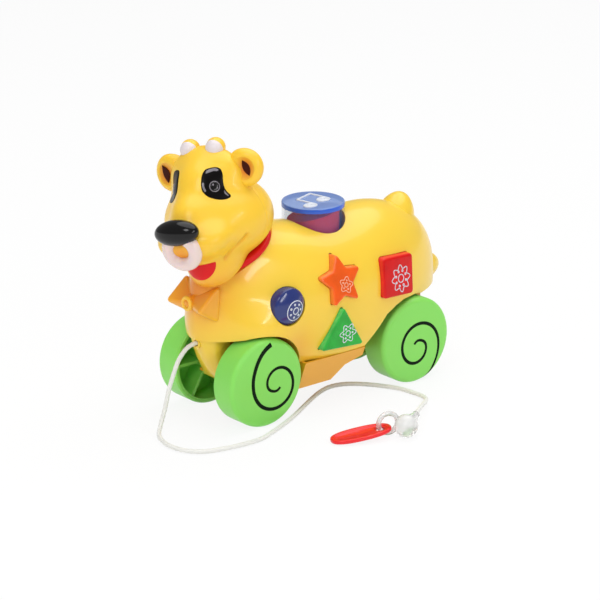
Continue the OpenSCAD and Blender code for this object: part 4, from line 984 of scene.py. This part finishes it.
# distance to the skin over a grid of directions, softened over a few degrees
def softTable():
    polar = np.linspace(0, np.pi, head["tableRows"] + 1)[:, None]
    around = np.linspace(0, 2 * np.pi, head["tableCols"] + 1)[None, :]
    quarter = np.pi / 2
    out = headWay(polar, around)
    down = headWay(polar + quarter, around)
    along = headWay(np.full_like(polar, quarter), around + quarter)
    total, weight = swellReach(out), 1.0
    for share, count in head["softRings"]:
        lean = math.tan(math.radians(share * head["soften"]))
        for k in range(count):
            a = 2 * math.pi * (k + share) / count
            way = out + lean * (math.cos(a) * down + math.sin(a) * along)
            way /= np.linalg.norm(way, axis=-1)[..., None]
            part = math.exp(-share * share / 2) * share * 6 / count
            total = total + part * swellReach(way)
            weight += part
    return total / weight


def headReach(way):
    rows, cols = head["tableRows"], head["tableCols"]
    polar = np.arccos(np.clip(-way[..., 0], -1, 1)) / np.pi * rows
    around = np.arctan2(way[..., 2], way[..., 1]) / (2 * np.pi) % 1 * cols
    i = np.clip(polar.astype(int), 0, rows - 1)
    j = np.clip(around.astype(int), 0, cols - 1)
    f, g = polar - i, around - j
    near = (1 - g) * headTable[i, j] + g * headTable[i, j + 1]
    far = (1 - g) * headTable[i + 1, j] + g * headTable[i + 1, j + 1]
    return (1 - f) * near + f * far


def smileCarve(points):
    a, b = (np.array(p, float) for p in head["smile"])
    mirrored = points * np.array([1, 0, 1]) + np.abs(points) * np.array([0, 1, 0])
    along = np.clip(((mirrored - a) @ (b - a)) / ((b - a) @ (b - a)), 0, 1)
    gap = np.linalg.norm(mirrored - (a + along[..., None] * (b - a)), axis=-1)
    return head["smileDeep"] * np.exp(-(gap / head["smileWide"]) ** 2)


def headHalf(name, pole, replaced):
    rings, segs = head["rings"], head["segs"]
    polar = np.radians(pole + (90 - pole) * np.arange(rings + 1) / rings)[:, None]
    around = (2 * np.pi * np.arange(segs) / segs)[None, :]
    way = headWay(polar, around)
    reach = headReach(way)
    reach = reach - smileCarve(head["mid"] + reach[..., None] * way)
    reach[-1] -= head["seamDeep"]
    skins = [head["mid"] + (reach - inset)[..., None] * way for inset in (0.0, head["wall"])]
    count = (rings + 1) * segs
    last = rings * segs
    faces = gridFaces(rings + 1, segs, wrap=True) + gridFaces(rings + 1, segs, count, wrap=True)
    faces += [(last + j, last + (j + 1) % segs, count + last + (j + 1) % segs, count + last + j)
              for j in range(segs)]
    piece = meshPiece(name, fromHead(np.concatenate([s.reshape(-1, 3) for s in skins])), faces)
    jaw = boxPiece("jawCut", (-farAway, -farAway, -farAway), (farAway, farAway, jawHeight),
                   headTurn @ neckTurn, neck)
    finished(cutAway(piece, [jaw]), "head", "head", [replaced], crease=50)
    # painted shade: amber in the smile crease, under the chin, inside the nose ring and on the head's
    # underside by the collar
    smilePaintedShade = head["smilePaintedShade"] * smileCarve(toHead(partPoints(piece))) / head["smileDeep"]
    withPaintedLight(piece, [(fromHead(place), wide, strength) for place, wide, strength in head["paintedShade"]], smilePaintedShade)


headTable = softTable()
headHalf("headFront", 0.0, "head_front_shell")
headHalf("headBack", 180.0, "head_back_shell")
print("head halves done")


# ears with a dished front and a dark slit
ear = {
    "at": (-16.5, 27.0, 54.0), "radius": 12.2, "thick": 9.0, "yaw": 15.0, "tuck": 5.0, "tuckPower": 1.5,
    "dish": 7.4, "dishSink": 0.5, "dishLift": 0.05, "paintedLight": 1.3, "paintedShadeReach": 5.2, "paintedShadeTall": 1.4,
    "slitHigh": 5.4, "slitWide": 2.4, "slitOut": 1.8, "slitLean": {"left": 18.0, "right": -14.0},
    "slitLift": 0.15, "slitBulge": 0.25, "slitThick": 0.6, "slitRows": 25, "slitCols": 9,
}
earFlat = ear["radius"] - ear["thick"] / 2


def dishHeight(r):
    return ear["thick"] / 2 - ear["thick"] / 4 * math.sin(math.pi / 2 * max(0.0, 1 - r / earFlat))


def earProfile():
    half = ear["thick"] / 2
    profile = [(0, -half), (earFlat, -half)] + arcPoints((earFlat, 0), half, -80, 90, 17)
    return profile + [(r, dishHeight(r)) for r in np.linspace(earFlat, 0, 21)[1:]]


def dishProfile():
    profile = [(r, dishHeight(r) - ear["dishSink"]) for r in (0, ear["dish"])]
    return profile + [(r, dishHeight(r) + ear["dishLift"]) for r in np.linspace(ear["dish"], 0, 17)]


def slitPiece(name, side, place, turn):
    lean = math.radians(ear["slitLean"][name])
    lens = []
    for v in np.linspace(-1, 1, ear["slitRows"]):
        half = ear["slitWide"] * (1 - v * v)
        for w in np.linspace(-1, 1, ear["slitCols"]):
            high = v * ear["slitHigh"] * math.cos(lean) + w * half * math.sin(lean)
            wide = ear["slitOut"] - v * ear["slitHigh"] * math.sin(lean) + w * half * math.cos(lean)
            lift = ear["slitLift"] + ear["slitBulge"] * (1 - w * w)
            lens.append((high, side * wide, dishHeight(math.hypot(high, wide)) + lift))
    points = fromHead(np.array(lens) @ turn.T + place)
    slit = meshPiece(name + "EarSlit", points, gridFaces(ear["slitRows"], ear["slitCols"]))
    thick = slit.modifiers.new("thick", "SOLIDIFY")
    thick.thickness = ear["slitThick"] * mm
    thick.offset = -1.0
    return baked(slit)


# the inner edge of an ear dips into the head
def tucked(piece, side, place, turn):
    local = (toHead(partPoints(piece)) - place) @ turn
    local[:, 2] -= ear["tuck"] * np.clip(-side * local[:, 1] / ear["radius"], 0, 1) ** ear["tuckPower"]
    movePoints(piece, fromHead(local @ turn.T + place))
    return local


for side, name in sides:
    place = onSide(ear["at"], side)
    turn = turnAbout("Z", -side * ear["yaw"]) @ turnAbout("Y", -90)
    piece = turned(name + "Ear", earProfile(), fromHead(place), headTurn @ turn)
    tucked(piece, side, place, turn)
    finished(piece, "head", "head", [name + "_ear"], crease=50)
    bowl = turned(name + "EarDish", dishProfile(), fromHead(place), headTurn @ turn, segs=64)
    spots = tucked(bowl, side, place, turn)
    finished(bowl, "dish", "head", crease=50)
    # painted shade in the dish, deepest about the slit
    away = np.hypot(spots[:, 0] / ear["paintedShadeTall"], spots[:, 1] - side * ear["slitOut"])
    withPaintedLight(bowl, [], ear["paintedLight"] - away / ear["paintedShadeReach"])
    slit = slitPiece(name, side, place, turn)
    tucked(slit, side, place, turn)
    finished(slit, "slit", "head", crease=60)


# horns: a yellow ball with an ivory one just ahead of it
horn = {"at": (-18.0, 9.4, 68.4), "radius": 6.25, "capRadius": 6.05, "capAhead": 1.2, "capDown": 0.4}


def ballPiece(name, radius, place):
    profile = [(radius * math.sin(math.pi * k / 40), -radius * math.cos(math.pi * k / 40)) for k in range(41)]
    return turned(name, profile, fromHead(place), headTurn, segs=64)


for side, name in sides:
    place = onSide(horn["at"], side)
    finished(ballPiece(name + "Horn", horn["radius"], place), "head", "head", [name + "_horn"])
    ahead = place - np.array([horn["capAhead"], 0, horn["capDown"]])
    finished(ballPiece(name + "HornCap", horn["capRadius"], ahead), "horn", "head")


# domed patches laid on the head's skin
patchForm = {"search": 14.0, "searchSteps": 24, "power": 5, "least": 0.001, "under": 0.8}


def smoothLoop(points, count):
    points = np.asarray(points, float)
    loop = []
    for k in range(count):
        spot = k * len(points) / count
        i = int(spot)
        loop.append(curveAt(*(points[(i + o) % len(points)] for o in (-1, 0, 1, 2)), spot - i))
    return np.array(loop)


# points of a flat drawing dropped on the skin; a view is a place with its across, up and out
def onSkin(flat, view):
    place, across, up, out = view
    start = place + flat[:, :1] * across + flat[:, 1:] * up

    def inside(ahead):
        away = start + ahead[:, None] * out - head["mid"]
        size = np.linalg.norm(away, axis=1)
        return size <= headReach(away / size[:, None])

    far = np.full(len(flat), patchForm["search"])
    return start + lastInside(-far, far, inside, patchForm["searchSteps"])[:, None] * out


def patchPiece(name, loop, view, proud, sink=0.5, rings=18):
    centre = loop.mean(0)
    out = view[3]
    rows = []
    for k in range(rings + 1):
        share = k / rings
        lift = proud * math.sqrt(max(0.0, 1 - share ** patchForm["power"])) - (sink if k == rings else 0.0)
        rows.append(onSkin(centre + (loop - centre) * max(share, patchForm["least"]), view) + lift * out)
    rows.append(rows[-1] - patchForm["under"] * out)
    return meshPiece(name, fromHead(np.concatenate(rows)), tubeFaces(len(rows), len(loop)))


eye = {
    "at": (-34.5, 14.7, 48.0), "yaw": 50.0, "pitch": 15.0, "proud": 0.5,
    "outline": [
        (0, 11), (4, 10.5), (6.3, 8.5), (6.7, 5), (6, 1), (6, -3.5), (7, -6.5), (8.6, -9.5), (6.5, -11),
        (2, -11), (-2.5, -9.5), (-6.5, -7), (-8.8, -3.5), (-9, 0), (-8, 4), (-6.2, 7.8), (-3.5, 10.4),
    ],
    "iris": (-0.5, -1.5), "irisRadius": 3.2, "irisLift": 0.5, "irisSink": 0.3,
    "ringLift": 0.05, "ringLine": 0.3,
    "paintedReflections": [
        [(-4.6, 7.4), (-3.2, 9.3), (0, 10), (3.6, 9.6), (5.3, 8), (3.8, 7.4), (1.5, 8), (-1.5, 7.6)],
        [(-7.8, 2.6), (-8.2, -0.5), (-7.6, -3.8), (-6.3, -3.4), (-6.8, -0.5), (-6.5, 2.4)],
        [(5.0, -4.4), (5.7, -6.5), (7, -8.8), (6.2, -9.2), (4.5, -6.8)],
    ],
    "paintedReflectionLift": 0.08, "paintedReflectionSink": 0.25, "markRings": 6,
    "paintedHighlights": [((-1.3, -0.3), 0.85), ((0.9, -2.7), 0.6)], "paintedHighlightLift": 0.62, "paintedHighlightSink": 0.2,
}
for side, name in sides:
    turn = turnAbout("Z", -side * eye["yaw"]) @ turnAbout("Y", eye["pitch"])
    view = (onSide(eye["at"], side), turn @ (0, side, 0), turn @ (0, 0, 1), turn @ (-1, 0, 0))
    proud = eye["proud"]
    patch = patchPiece(name + "EyePatch", smoothLoop(eye["outline"], 120), view, proud)
    finished(patch, "eyeBlack", "head", [name + "_eye"], crease=60)
    disc = np.array(circlePoints(eye["iris"], eye["irisRadius"], 60))
    iris = patchPiece(name + "Iris", disc, view, proud + eye["irisLift"], eye["irisSink"])
    finished(iris, "black", "head", crease=60)
    # painted reflections: grey patches on the near eye; painted highlights: two small grey discs and a grey
    # ring line around the iris, on both eyes
    marks = []
    if name == "left":
        marks += [patchPiece("paintedReflection", smoothLoop(outline, 48), view, proud + eye["paintedReflectionLift"],
                             eye["paintedReflectionSink"], eye["markRings"]) for outline in eye["paintedReflections"]]
    marks += [patchPiece("paintedHighlight", np.array(circlePoints(at, r, 24)), view, proud + eye["paintedHighlightLift"],
                         eye["paintedHighlightSink"], eye["markRings"]) for at, r in eye["paintedHighlights"]]
    ringLine = fromHead(onSkin(disc, view) + (proud + eye["ringLift"]) * view[3])
    marks.append(sweptPiece("irisPaintedHighlight", [(ringLine, True)], eye["ringLine"], "paintedReflection"))
    finished(joinedPiece(name + "EyePaintedReflections", marks), "paintedReflection", "head", crease=60)

mouth = {"at": (-46.0, 0.0, -4.0), "wide": 11.5, "high": 5.0, "dip": 0.8, "proud": 0.5}
lip = arcPoints((0, mouth["high"]), mouth["wide"], 180, 360, 30)
lip += [(mouth["wide"] * s, mouth["high"] - mouth["dip"] * (1 - s * s)) for s in np.linspace(1, -1, 24)[1:-1]]
mouthView = tuple(np.array(v, float) for v in (mouth["at"], (0, 1, 0), (0, 0, 1), (-1, 0, 0)))
mouthPatch = patchPiece("mouthPatch", np.array(lip), mouthView, mouth["proud"])
finished(mouthPatch, "mouth", "head", ["mouth"], crease=60)


# nose and nose ring
nose = {"at": (-63.0, 0.0, 24.4), "half": 15.5, "radius": 8.25, "steps": 64}
noseProfile = [(nose["radius"] * math.sin(a), -nose["half"] * math.cos(a))
               for a in np.linspace(0, math.pi, nose["steps"] + 1)]
noseTip = turned("noseTip", noseProfile, fromHead(nose["at"]), headTurn @ turnAbout("X", 90))
finished(noseTip, "black", "head", ["nose"], crease=60)
noseRing = {"at": (-60.5, 0.0, 12.5), "mean": 9.25, "tube": 4.25, "pitch": -15.0}
ringTurn = headTurn @ turnAbout("Y", noseRing["pitch"] - 90)
ring = ringPiece("noseRing", noseRing["mean"], noseRing["tube"], fromHead(noseRing["at"]), ringTurn, 48, 96)
finished(ring, "ring", "head", ["nose_ring"], crease=60)
print("face done")


# wheels with ribs behind and a spiral line on the face
def ribTree():
    tree = bpy.data.node_groups.new("wheelRibs", "GeometryNodeTree")
    addSockets(tree, "INPUT", {"Count": "Int", "Inner": "Float", "Outer": "Float", "Thick": "Float",
                               "Low": "Float", "High": "Float", "Finish": "Material"})
    addSockets(tree, "OUTPUT", {"Geometry": "Geometry"})
    given = addNode(tree, "NodeGroupInput").outputs

    def length(low, high):
        return addMath(tree, "SUBTRACT", given[high], given[low])

    def middle(low, high):
        return addMath(tree, "MULTIPLY", addMath(tree, "ADD", given[low], given[high]), 0.5)

    size = addNode(tree, "ShaderNodeCombineXYZ", {
        0: length("Inner", "Outer"), 1: given["Thick"], 2: length("Low", "High")})
    place = addNode(tree, "ShaderNodeCombineXYZ", {0: middle("Inner", "Outer"), 2: middle("Low", "High")})
    block = addNode(tree, "GeometryNodeMeshCube", {"Size": size.outputs[0]})
    rib = addNode(tree, "GeometryNodeTransform", {
        "Geometry": block.outputs["Mesh"], "Translation": place.outputs[0]})
    spots = addNode(tree, "GeometryNodePoints", {"Count": given["Count"]})
    share = addMath(tree, "DIVIDE", addNode(tree, "GeometryNodeInputIndex").outputs[0], given["Count"])
    turn = addNode(tree, "ShaderNodeCombineXYZ", {2: addMath(tree, "MULTIPLY", share, 2 * math.pi)})
    spread = addNode(tree, "GeometryNodeInstanceOnPoints", {
        "Points": spots.outputs[0], "Instance": rib.outputs["Geometry"], "Rotation": turn.outputs[0]})
    return endTree(tree, spread.outputs["Instances"], given["Finish"])


wheelRibs = ribTree()
spirals = {
    "front": {"centre": (6.5, -2.0), "start": 97.0, "tail": [(0, 29), (30, 22.5), (60, 19)], "tailWide": 0.2},
    "rear": {"centre": (2.0, -4.5), "start": -82.0, "tail": [(0, 24.5), (30, 20.8), (60, 18.4)],
             "tailWide": -0.35},
}
spiralForm = {
    "bends": [
        (95, 17.2), (150, 16.2), (225, 15.3), (265, 14.2), (330, 11.6), (405, 7.8), (500, 4.4), (590, 4.4),
    ],
    "line": 1.4, "wide": 1.1, "thin": 0.25, "tailReach": 0.15, "sink": 0.7, "flatten": 0.25, "steps": 180,
    "edge": 0.5, "soften": (-18, -9, 0, 9, 18),
}


def ribPiece(place, turn):
    w = wheels
    bite = w["ribBite"]
    values = {"Count": w["ribs"], "Inner": w["hub"] - bite, "Outer": w["radius"] - w["rim"] + bite,
              "Thick": w["ribThick"], "Low": w["rim"], "High": w["width"] - w["rim"] + bite,
              "Finish": finishes["wheel"]}
    ribs = linked("ribs", treeMesh("ribHolder", bpy.data.meshes.new("ribHolder"), wheelRibs, values))
    movePoints(ribs, np.array([v.co for v in ribs.data.vertices]) @ turn.T + place)
    return ribs


def wheelProfile():
    w = wheels
    deep = w["width"] - w["rim"]
    rim = w["radius"] - w["rim"]
    profile = [(0, deep), (w["bore"], deep), (w["bore"], 0), (w["hub"], 0), (w["hub"], deep), (rim, deep),
               (rim, 0), (w["radius"] - w["chamfer"], 0), (w["radius"], w["chamfer"])]
    profile += arcPoints((w["radius"] - w["round"], w["width"] - w["round"]), w["round"], 0, 90, 10)
    return profile + [(0, w["width"])]


def wheelFace(away):
    over = np.clip(away - (wheels["radius"] - wheels["round"]), 0, wheels["round"])
    return wheels["outer"] - wheels["round"] + np.sqrt(wheels["round"] ** 2 - over ** 2)


def spiralLine(end, x, side):
    s = spirals[end]
    turns, radii = zip(*(s["tail"] + spiralForm["bends"]))
    path = []
    for turn in np.linspace(0, turns[-1], spiralForm["steps"] + 1):
        radius = np.mean([np.interp(turn + d, turns, radii) for d in spiralForm["soften"]])
        angle = math.radians(s["start"] + turn)
        dx = s["centre"][0] + radius * math.cos(angle)
        dz = s["centre"][1] + radius * math.sin(angle)
        away = math.hypot(dx, dz)
        if away < wheels["radius"] - spiralForm["edge"]:
            path.append((x + dx, side * (wheelFace(away) - spiralForm["sink"]), wheels["axleZ"] + dz))
    return path


# the line stands only a little above the wheel's face
def spiralPiece(name, end, x, side):
    def taper(t):
        tail = spirals[end]["tailWide"] * math.exp(-t / spiralForm["tailReach"])
        return spiralForm["wide"] + tail - spiralForm["thin"] * t

    line = sweptPiece(name, [(spiralLine(end, x, side), False)], spiralForm["line"], "ink", taper)
    points = partPoints(line)
    face = wheelFace(np.hypot(points[:, 0] - x, points[:, 2] - wheels["axleZ"]))
    above = np.maximum(side * points[:, 1] - face, 0)
    points[:, 1] -= side * above * (1 - spiralForm["flatten"])
    movePoints(line, points)
    return line


for end, x in (("front", -wheels["axleX"]), ("rear", wheels["axleX"])):
    for side, name in sides:
        turn = turnAbout("X", -side * 90)
        place = np.array([x, side * (wheels["outer"] - wheels["width"]), wheels["axleZ"]])
        tyre = turned("tyre", wheelProfile(), place, turn, segs=144)
        wheel = joinedPiece(end + name.capitalize() + "Wheel", [tyre, ribPiece(place, turn)])
        finished(wheel, "wheel", end + "_wheels", [end + "_" + name + "_wheel"])
        spiral = spiralPiece(end + name.capitalize() + "Spiral", end, x, side)
        finished(spiral, "ink", end + "_wheels", crease=50)
print("wheels done")


# pull cord: the route's points repeat the part's own, and the tube carries a braid
cord = {
    "route": [
        (-86, 0, 52), (-92, 0, 52), (-98, 0, 50), (-104, 0, 44), (-109, -1, 36), (-113, -1, 26),
        (-117, -2, 15), (-122, -4, 6), (-128, -10, 2.2), (-132, -20, 1.7), (-133, -30, 1.7), (-130, -41, 1.7),
        (-122, -49, 1.7), (-110, -53, 1.7), (-96, -55, 1.7), (-82, -55, 1.7), (-68, -50, 1.7),
        (-54, -44, 1.7), (-40, -37, 1.7), (-26, -29, 1.7), (-12, -21, 1.7), (0, -15, 1.7),
        (11, -12, 1.7), (21, -14, 1.7), (30, -21, 1.7), (38, -32, 1.7), (44, -44, 1.7),
        (46, -57, 1.7), (46, -64, 1.8), (42.5, -71, 3), (35, -78.5, 5), (27, -84.8, 6.8), (19, -91, 8.3),
        (13, -95.7, 9.1), (7.4, -100.2, 9.5),
    ],
    "diameter": 3.0, "sides": 24, "pitch": 0.4, "braid": 0.2, "strands": 6, "lay": 7.0, "floor": 0.1,
    "fineSteps": 24,
}
braid = {
    "tint": (0.95, 0.95, 0.93), "dark": 0.86, "bright": 1.06, "fibreScale": 2200.0, "fibreDetail": 3.0,
    "fibreLift": 0.25, "fibreDeep": 0.0002, "rough": 0.75, "sheen": 0.3,
}


# even steps along the route, and the length run at each
def cordPath():
    route = np.array(cord["route"], float)
    last = len(route) - 1
    fine = []
    for k in range(last):
        around = [route[min(max(k + o, 0), last)] for o in (-1, 0, 1, 2)]
        fine += [curveAt(*around, share) for share in np.linspace(0, 1, cord["fineSteps"], endpoint=False)]
    fine = np.array(fine + [route[-1]])
    run = np.concatenate([[0], np.cumsum(np.linalg.norm(np.diff(fine, axis=0), axis=1))])
    even = np.linspace(0, run[-1], int(run[-1] / cord["pitch"]) + 1)
    return np.stack([np.interp(even, run, fine[:, k]) for k in range(3)], 1), even


def braidedTube(line, run):
    along = np.gradient(line, axis=0)
    along /= np.linalg.norm(along, axis=1)[:, None]
    across = np.cross(along, (0, 0, 1.0))
    across /= np.linalg.norm(across, axis=1)[:, None]
    up = np.cross(across, along)
    theta = 2 * np.pi * np.arange(cord["sides"])[None, :] / cord["sides"]
    strand = cord["strands"] * theta / 2
    twist = 2 * np.pi * run[:, None] / cord["lay"]
    weave = np.abs(np.cos(strand + twist) * np.cos(strand - twist))
    radius = cord["diameter"] / 2 - cord["braid"] * (1 - weave)
    points = line[:, None, :] + radius[..., None] * (
        np.cos(theta)[..., None] * across[:, None, :] + np.sin(theta)[..., None] * up[:, None, :])
    points[..., 2] = np.maximum(points[..., 2], cord["floor"])
    return meshPiece("pullCord", points.reshape(-1, 3), tubeFaces(len(line), cord["sides"]))


def braidFinish():
    material, tree, shader = newMaterial("braidedCord")
    place = addNode(tree, "ShaderNodeTexCoord").outputs["Object"]
    noise = addNode(tree, "ShaderNodeTexNoise", {
        "Vector": place, "Scale": braid["fibreScale"], "Detail": braid["fibreDetail"]})
    fibre = noise.outputs["Fac"]
    shade = addNode(tree, "ShaderNodeMapRange", {
        "Value": fibre, "To Min": braid["dark"], "To Max": braid["bright"]})
    tone = addNode(tree, "ShaderNodeHueSaturation", {
        "Color": srgb(*braid["tint"]), "Value": shade.outputs[0]})
    lift = addNode(tree, "ShaderNodeBump", {
        "Strength": braid["fibreLift"], "Distance": braid["fibreDeep"], "Height": fibre})
    feed(tree, shader, {"Base Color": tone.outputs["Color"], "Normal": lift.outputs["Normal"],
                        "Roughness": braid["rough"], "Sheen Weight": braid["sheen"]})
    return material


finishes["cord"] = braidFinish()
cordLine, cordRun = cordPath()
cordPiece = braidedTube(cordLine, cordRun)
finished(cordPiece, "cord", "body", ["pull_cord"], crease=70)

ball = {"at": (-7.3, -107.4, 7.5), "radius": 7.5, "neck": 16.5, "turn": 26.0, "rise": 7.0, "neckRadius": 2.4,
        "shoulder": 50.0, "tip": 2.0}
loop = {"at": (-14.0, -97.7, 8.1), "radius": 6.4, "tube": 1.6, "turn": 161.0}
ballProfile = arcPoints((0, 0), ball["radius"], -90, ball["shoulder"], 39)
ballProfile += [(ball["neckRadius"], ball["neck"] - ball["tip"]), (ball["neckRadius"], ball["neck"]),
                (0, ball["neck"])]
ballTurn = turnAbout("Z", ball["turn"]) @ turnAbout("Y", 90 - ball["rise"])
loopTurn = turnAbout("Z", loop["turn"]) @ turnAbout("X", 90)
cordBall = joinedPiece("cordBall", [
    turned("ballForm", ballProfile, ball["at"], ballTurn),
    ringPiece("loopForm", loop["radius"], loop["tube"], loop["at"], loopTurn, 32, 96),
])
finished(cordBall, "ball", "body", ["cord_ball"])

# pull tab: a flat oval with a dished face and a hole for the loop
tab = {
    "long": 40.5, "wide": 18.0, "thick": 2.6, "end": 2.0, "tilt": 5.9, "low": 4.0, "power": 2.4, "rim": 3.0,
    "rimHalf": 0.4, "dish": 0.8, "holeAt": 5.4, "hole": 3.2, "holeFrom": -3.0, "holeTo": 6.0, "edge": 0.7,
    "edgeCut": 0.21, "steps": 128,
}


def tabOutline(inset):
    def swelled(value):
        return math.copysign(abs(value) ** (2 / tab["power"]), value)

    half = tab["long"] / 2
    turns = [2 * math.pi * k / tab["steps"] for k in range(tab["steps"])]
    return [(half - tab["end"] + (half - inset) * swelled(math.cos(a)),
             (tab["wide"] / 2 - inset) * swelled(math.sin(a))) for a in turns]


def tabLevels():
    edge, cut, top = tab["edge"], tab["edgeCut"], tab["thick"]
    return [(edge, 0), (cut, cut), (0, edge), (0, top - edge), (cut, top - cut), (edge, top),
            (tab["rim"] - tab["rimHalf"], top), (tab["rim"], top - tab["dish"] / 2),
            (tab["rim"] + tab["rimHalf"], top - tab["dish"])]


tabTurn = turnAbout("Z", loop["turn"]) @ turnAbout("Y", tab["tilt"])
tabPlace = np.array([loop["at"][0], loop["at"][1], tab["low"]])
tabPoints = np.array([(x, y, z) for inset, z in tabLevels() for x, y in tabOutline(inset)])
tabFaces = tubeFaces(len(tabLevels()), tab["steps"])
tabPiece = meshPiece("pullTab", tabPoints @ tabTurn.T + tabPlace, tabFaces)
tabHole = rodPiece("tabHole", tab["hole"], tab["holeFrom"], tab["holeTo"],
                   tabPlace + tabTurn @ (tab["holeAt"], 0, 0), tabTurn)
finished(cutAway(tabPiece, [tabHole]), "tab", "body", ["pull_tab"], crease=50)
tuple(toRow(cordLine[0])[0])
[tuple(p) for p in toRow(cordLine)]


# the nodes that keep their own shape
keptNodes = {
    "chassis": ["chassis", "battery_door", "neck_pivot"],
    "white": ["axle_bushes", "drum_well", "neck_washer"],
    "steel": ["shell_screws", "door_screw", "battery_contacts", "neck_screw", "front_axle", "rear_axle"],
    "cells": ["battery_cells"],
    "board": ["circuit_board", "button_board"],
    "dark": ["speaker", "switch_body", "switch_knob"],
    "rubber": ["button_pads", "drum_switch"],
    "horn": ["drum_lamps"],
    "cord": ["cord_knot"],
}
for finish, names in keptNodes.items():
    for name in names:
        slots = nodes[name].data.materials
        slots.clear()
        slots.append(finishes[finish])
print("kept nodes painted")


# floor, lamps and sky, in metres
studio = {
    "floorHalf": 8.0, "floorZ": -0.0003, "floorTint": (0.97, 0.97, 0.97), "floorRough": 0.9,
    "floorShine": 0.1, "floorGlow": 0.88, "skyLight": 0.32, "skyShown": 1.0, "aim": (0, 0, 0.08),
}
lamps = {
    "ceiling": {"place": (0.35, 0.05, 1.6), "size": (2.2, 2.2), "power": 23.0, "along": (1, 0, 0)},
    "key": {"place": (-1.0, -0.75, 1.15), "size": (0.6, 0.6), "power": 4.5, "along": (1, 0, 0)},
    "fill": {"place": (-1.3, 0.15, 0.42), "size": (0.9, 0.9), "power": 3.0, "along": (0, 1, 0)},
    "strip": {"place": (0.0, -1.12, 0.55), "size": (0.8, 0.1), "power": 2.6, "along": (0.54, 0.18, 0.37)},
}


def floorFinish():
    material, tree, shader = newMaterial("paleFloor")
    feed(tree, shader, {"Base Color": srgb(*studio["floorTint"]), "Roughness": studio["floorRough"],
                        "Specular IOR Level": studio["floorShine"]})
    rays = addNode(tree, "ShaderNodeLightPath").outputs
    seen = addMath(tree, "MAXIMUM", rays["Is Camera Ray"], rays["Is Glossy Ray"])
    seen = addMath(tree, "MAXIMUM", seen, rays["Is Transmission Ray"])
    blend = addNode(tree, "ShaderNodeMixShader", {
        0: addMath(tree, "MULTIPLY", seen, studio["floorGlow"]), 1: shader.outputs[0],
        2: addNode(tree, "ShaderNodeEmission").outputs[0]})
    feed(tree, tree.nodes["Material Output"], {"Surface": blend.outputs[0]})
    return material


floorMesh = bpy.data.meshes.new("studioFloor")
half, low = studio["floorHalf"], studio["floorZ"]
floorCorners = [(-half, -half, low), (half, -half, low), (half, half, low), (-half, half, low)]
floorMesh.from_pydata(floorCorners, [], [(0, 1, 2, 3)])
floorMesh.materials.append(floorFinish())
linked("studioFloor", floorMesh)

for name, lamp in lamps.items():
    data = bpy.data.lights.new(name + "Lamp", "AREA")
    data.shape = "RECTANGLE" if name == "strip" else "ELLIPSE"
    data.size, data.size_y = lamp["size"]
    data.energy = lamp["power"]
    unit = linked(name + "Lamp", data)
    unit.location = lamp["place"]
    unit.visible_glossy = name != "fill"
    away = (unit.location - Vector(studio["aim"])).normalized()
    row = Vector(lamp["along"])
    row = (row - row.dot(away) * away).normalized()
    unit.rotation_euler = Matrix((row, away.cross(row), away)).transposed().to_euler()

sky = bpy.data.worlds.new("studioSky")
sky.use_nodes = True
scene.world = sky
skyTree = sky.node_tree
plain = feed(skyTree, skyTree.nodes["Background"], {"Color": (1, 1, 1, 1), "Strength": studio["skyLight"]})
bright = addNode(skyTree, "ShaderNodeBackground", {"Strength": studio["skyShown"]})
skyRays = addNode(skyTree, "ShaderNodeLightPath").outputs
skySeen = addMath(skyTree, "MAXIMUM", skyRays["Is Camera Ray"], skyRays["Is Transmission Ray"])
mixed = addNode(skyTree, "ShaderNodeMixShader", {0: skySeen, 1: plain.outputs[0], 2: bright.outputs[0]})
feed(skyTree, skyTree.nodes["World Output"], {"Surface": mixed.outputs[0]})
print("studio done")
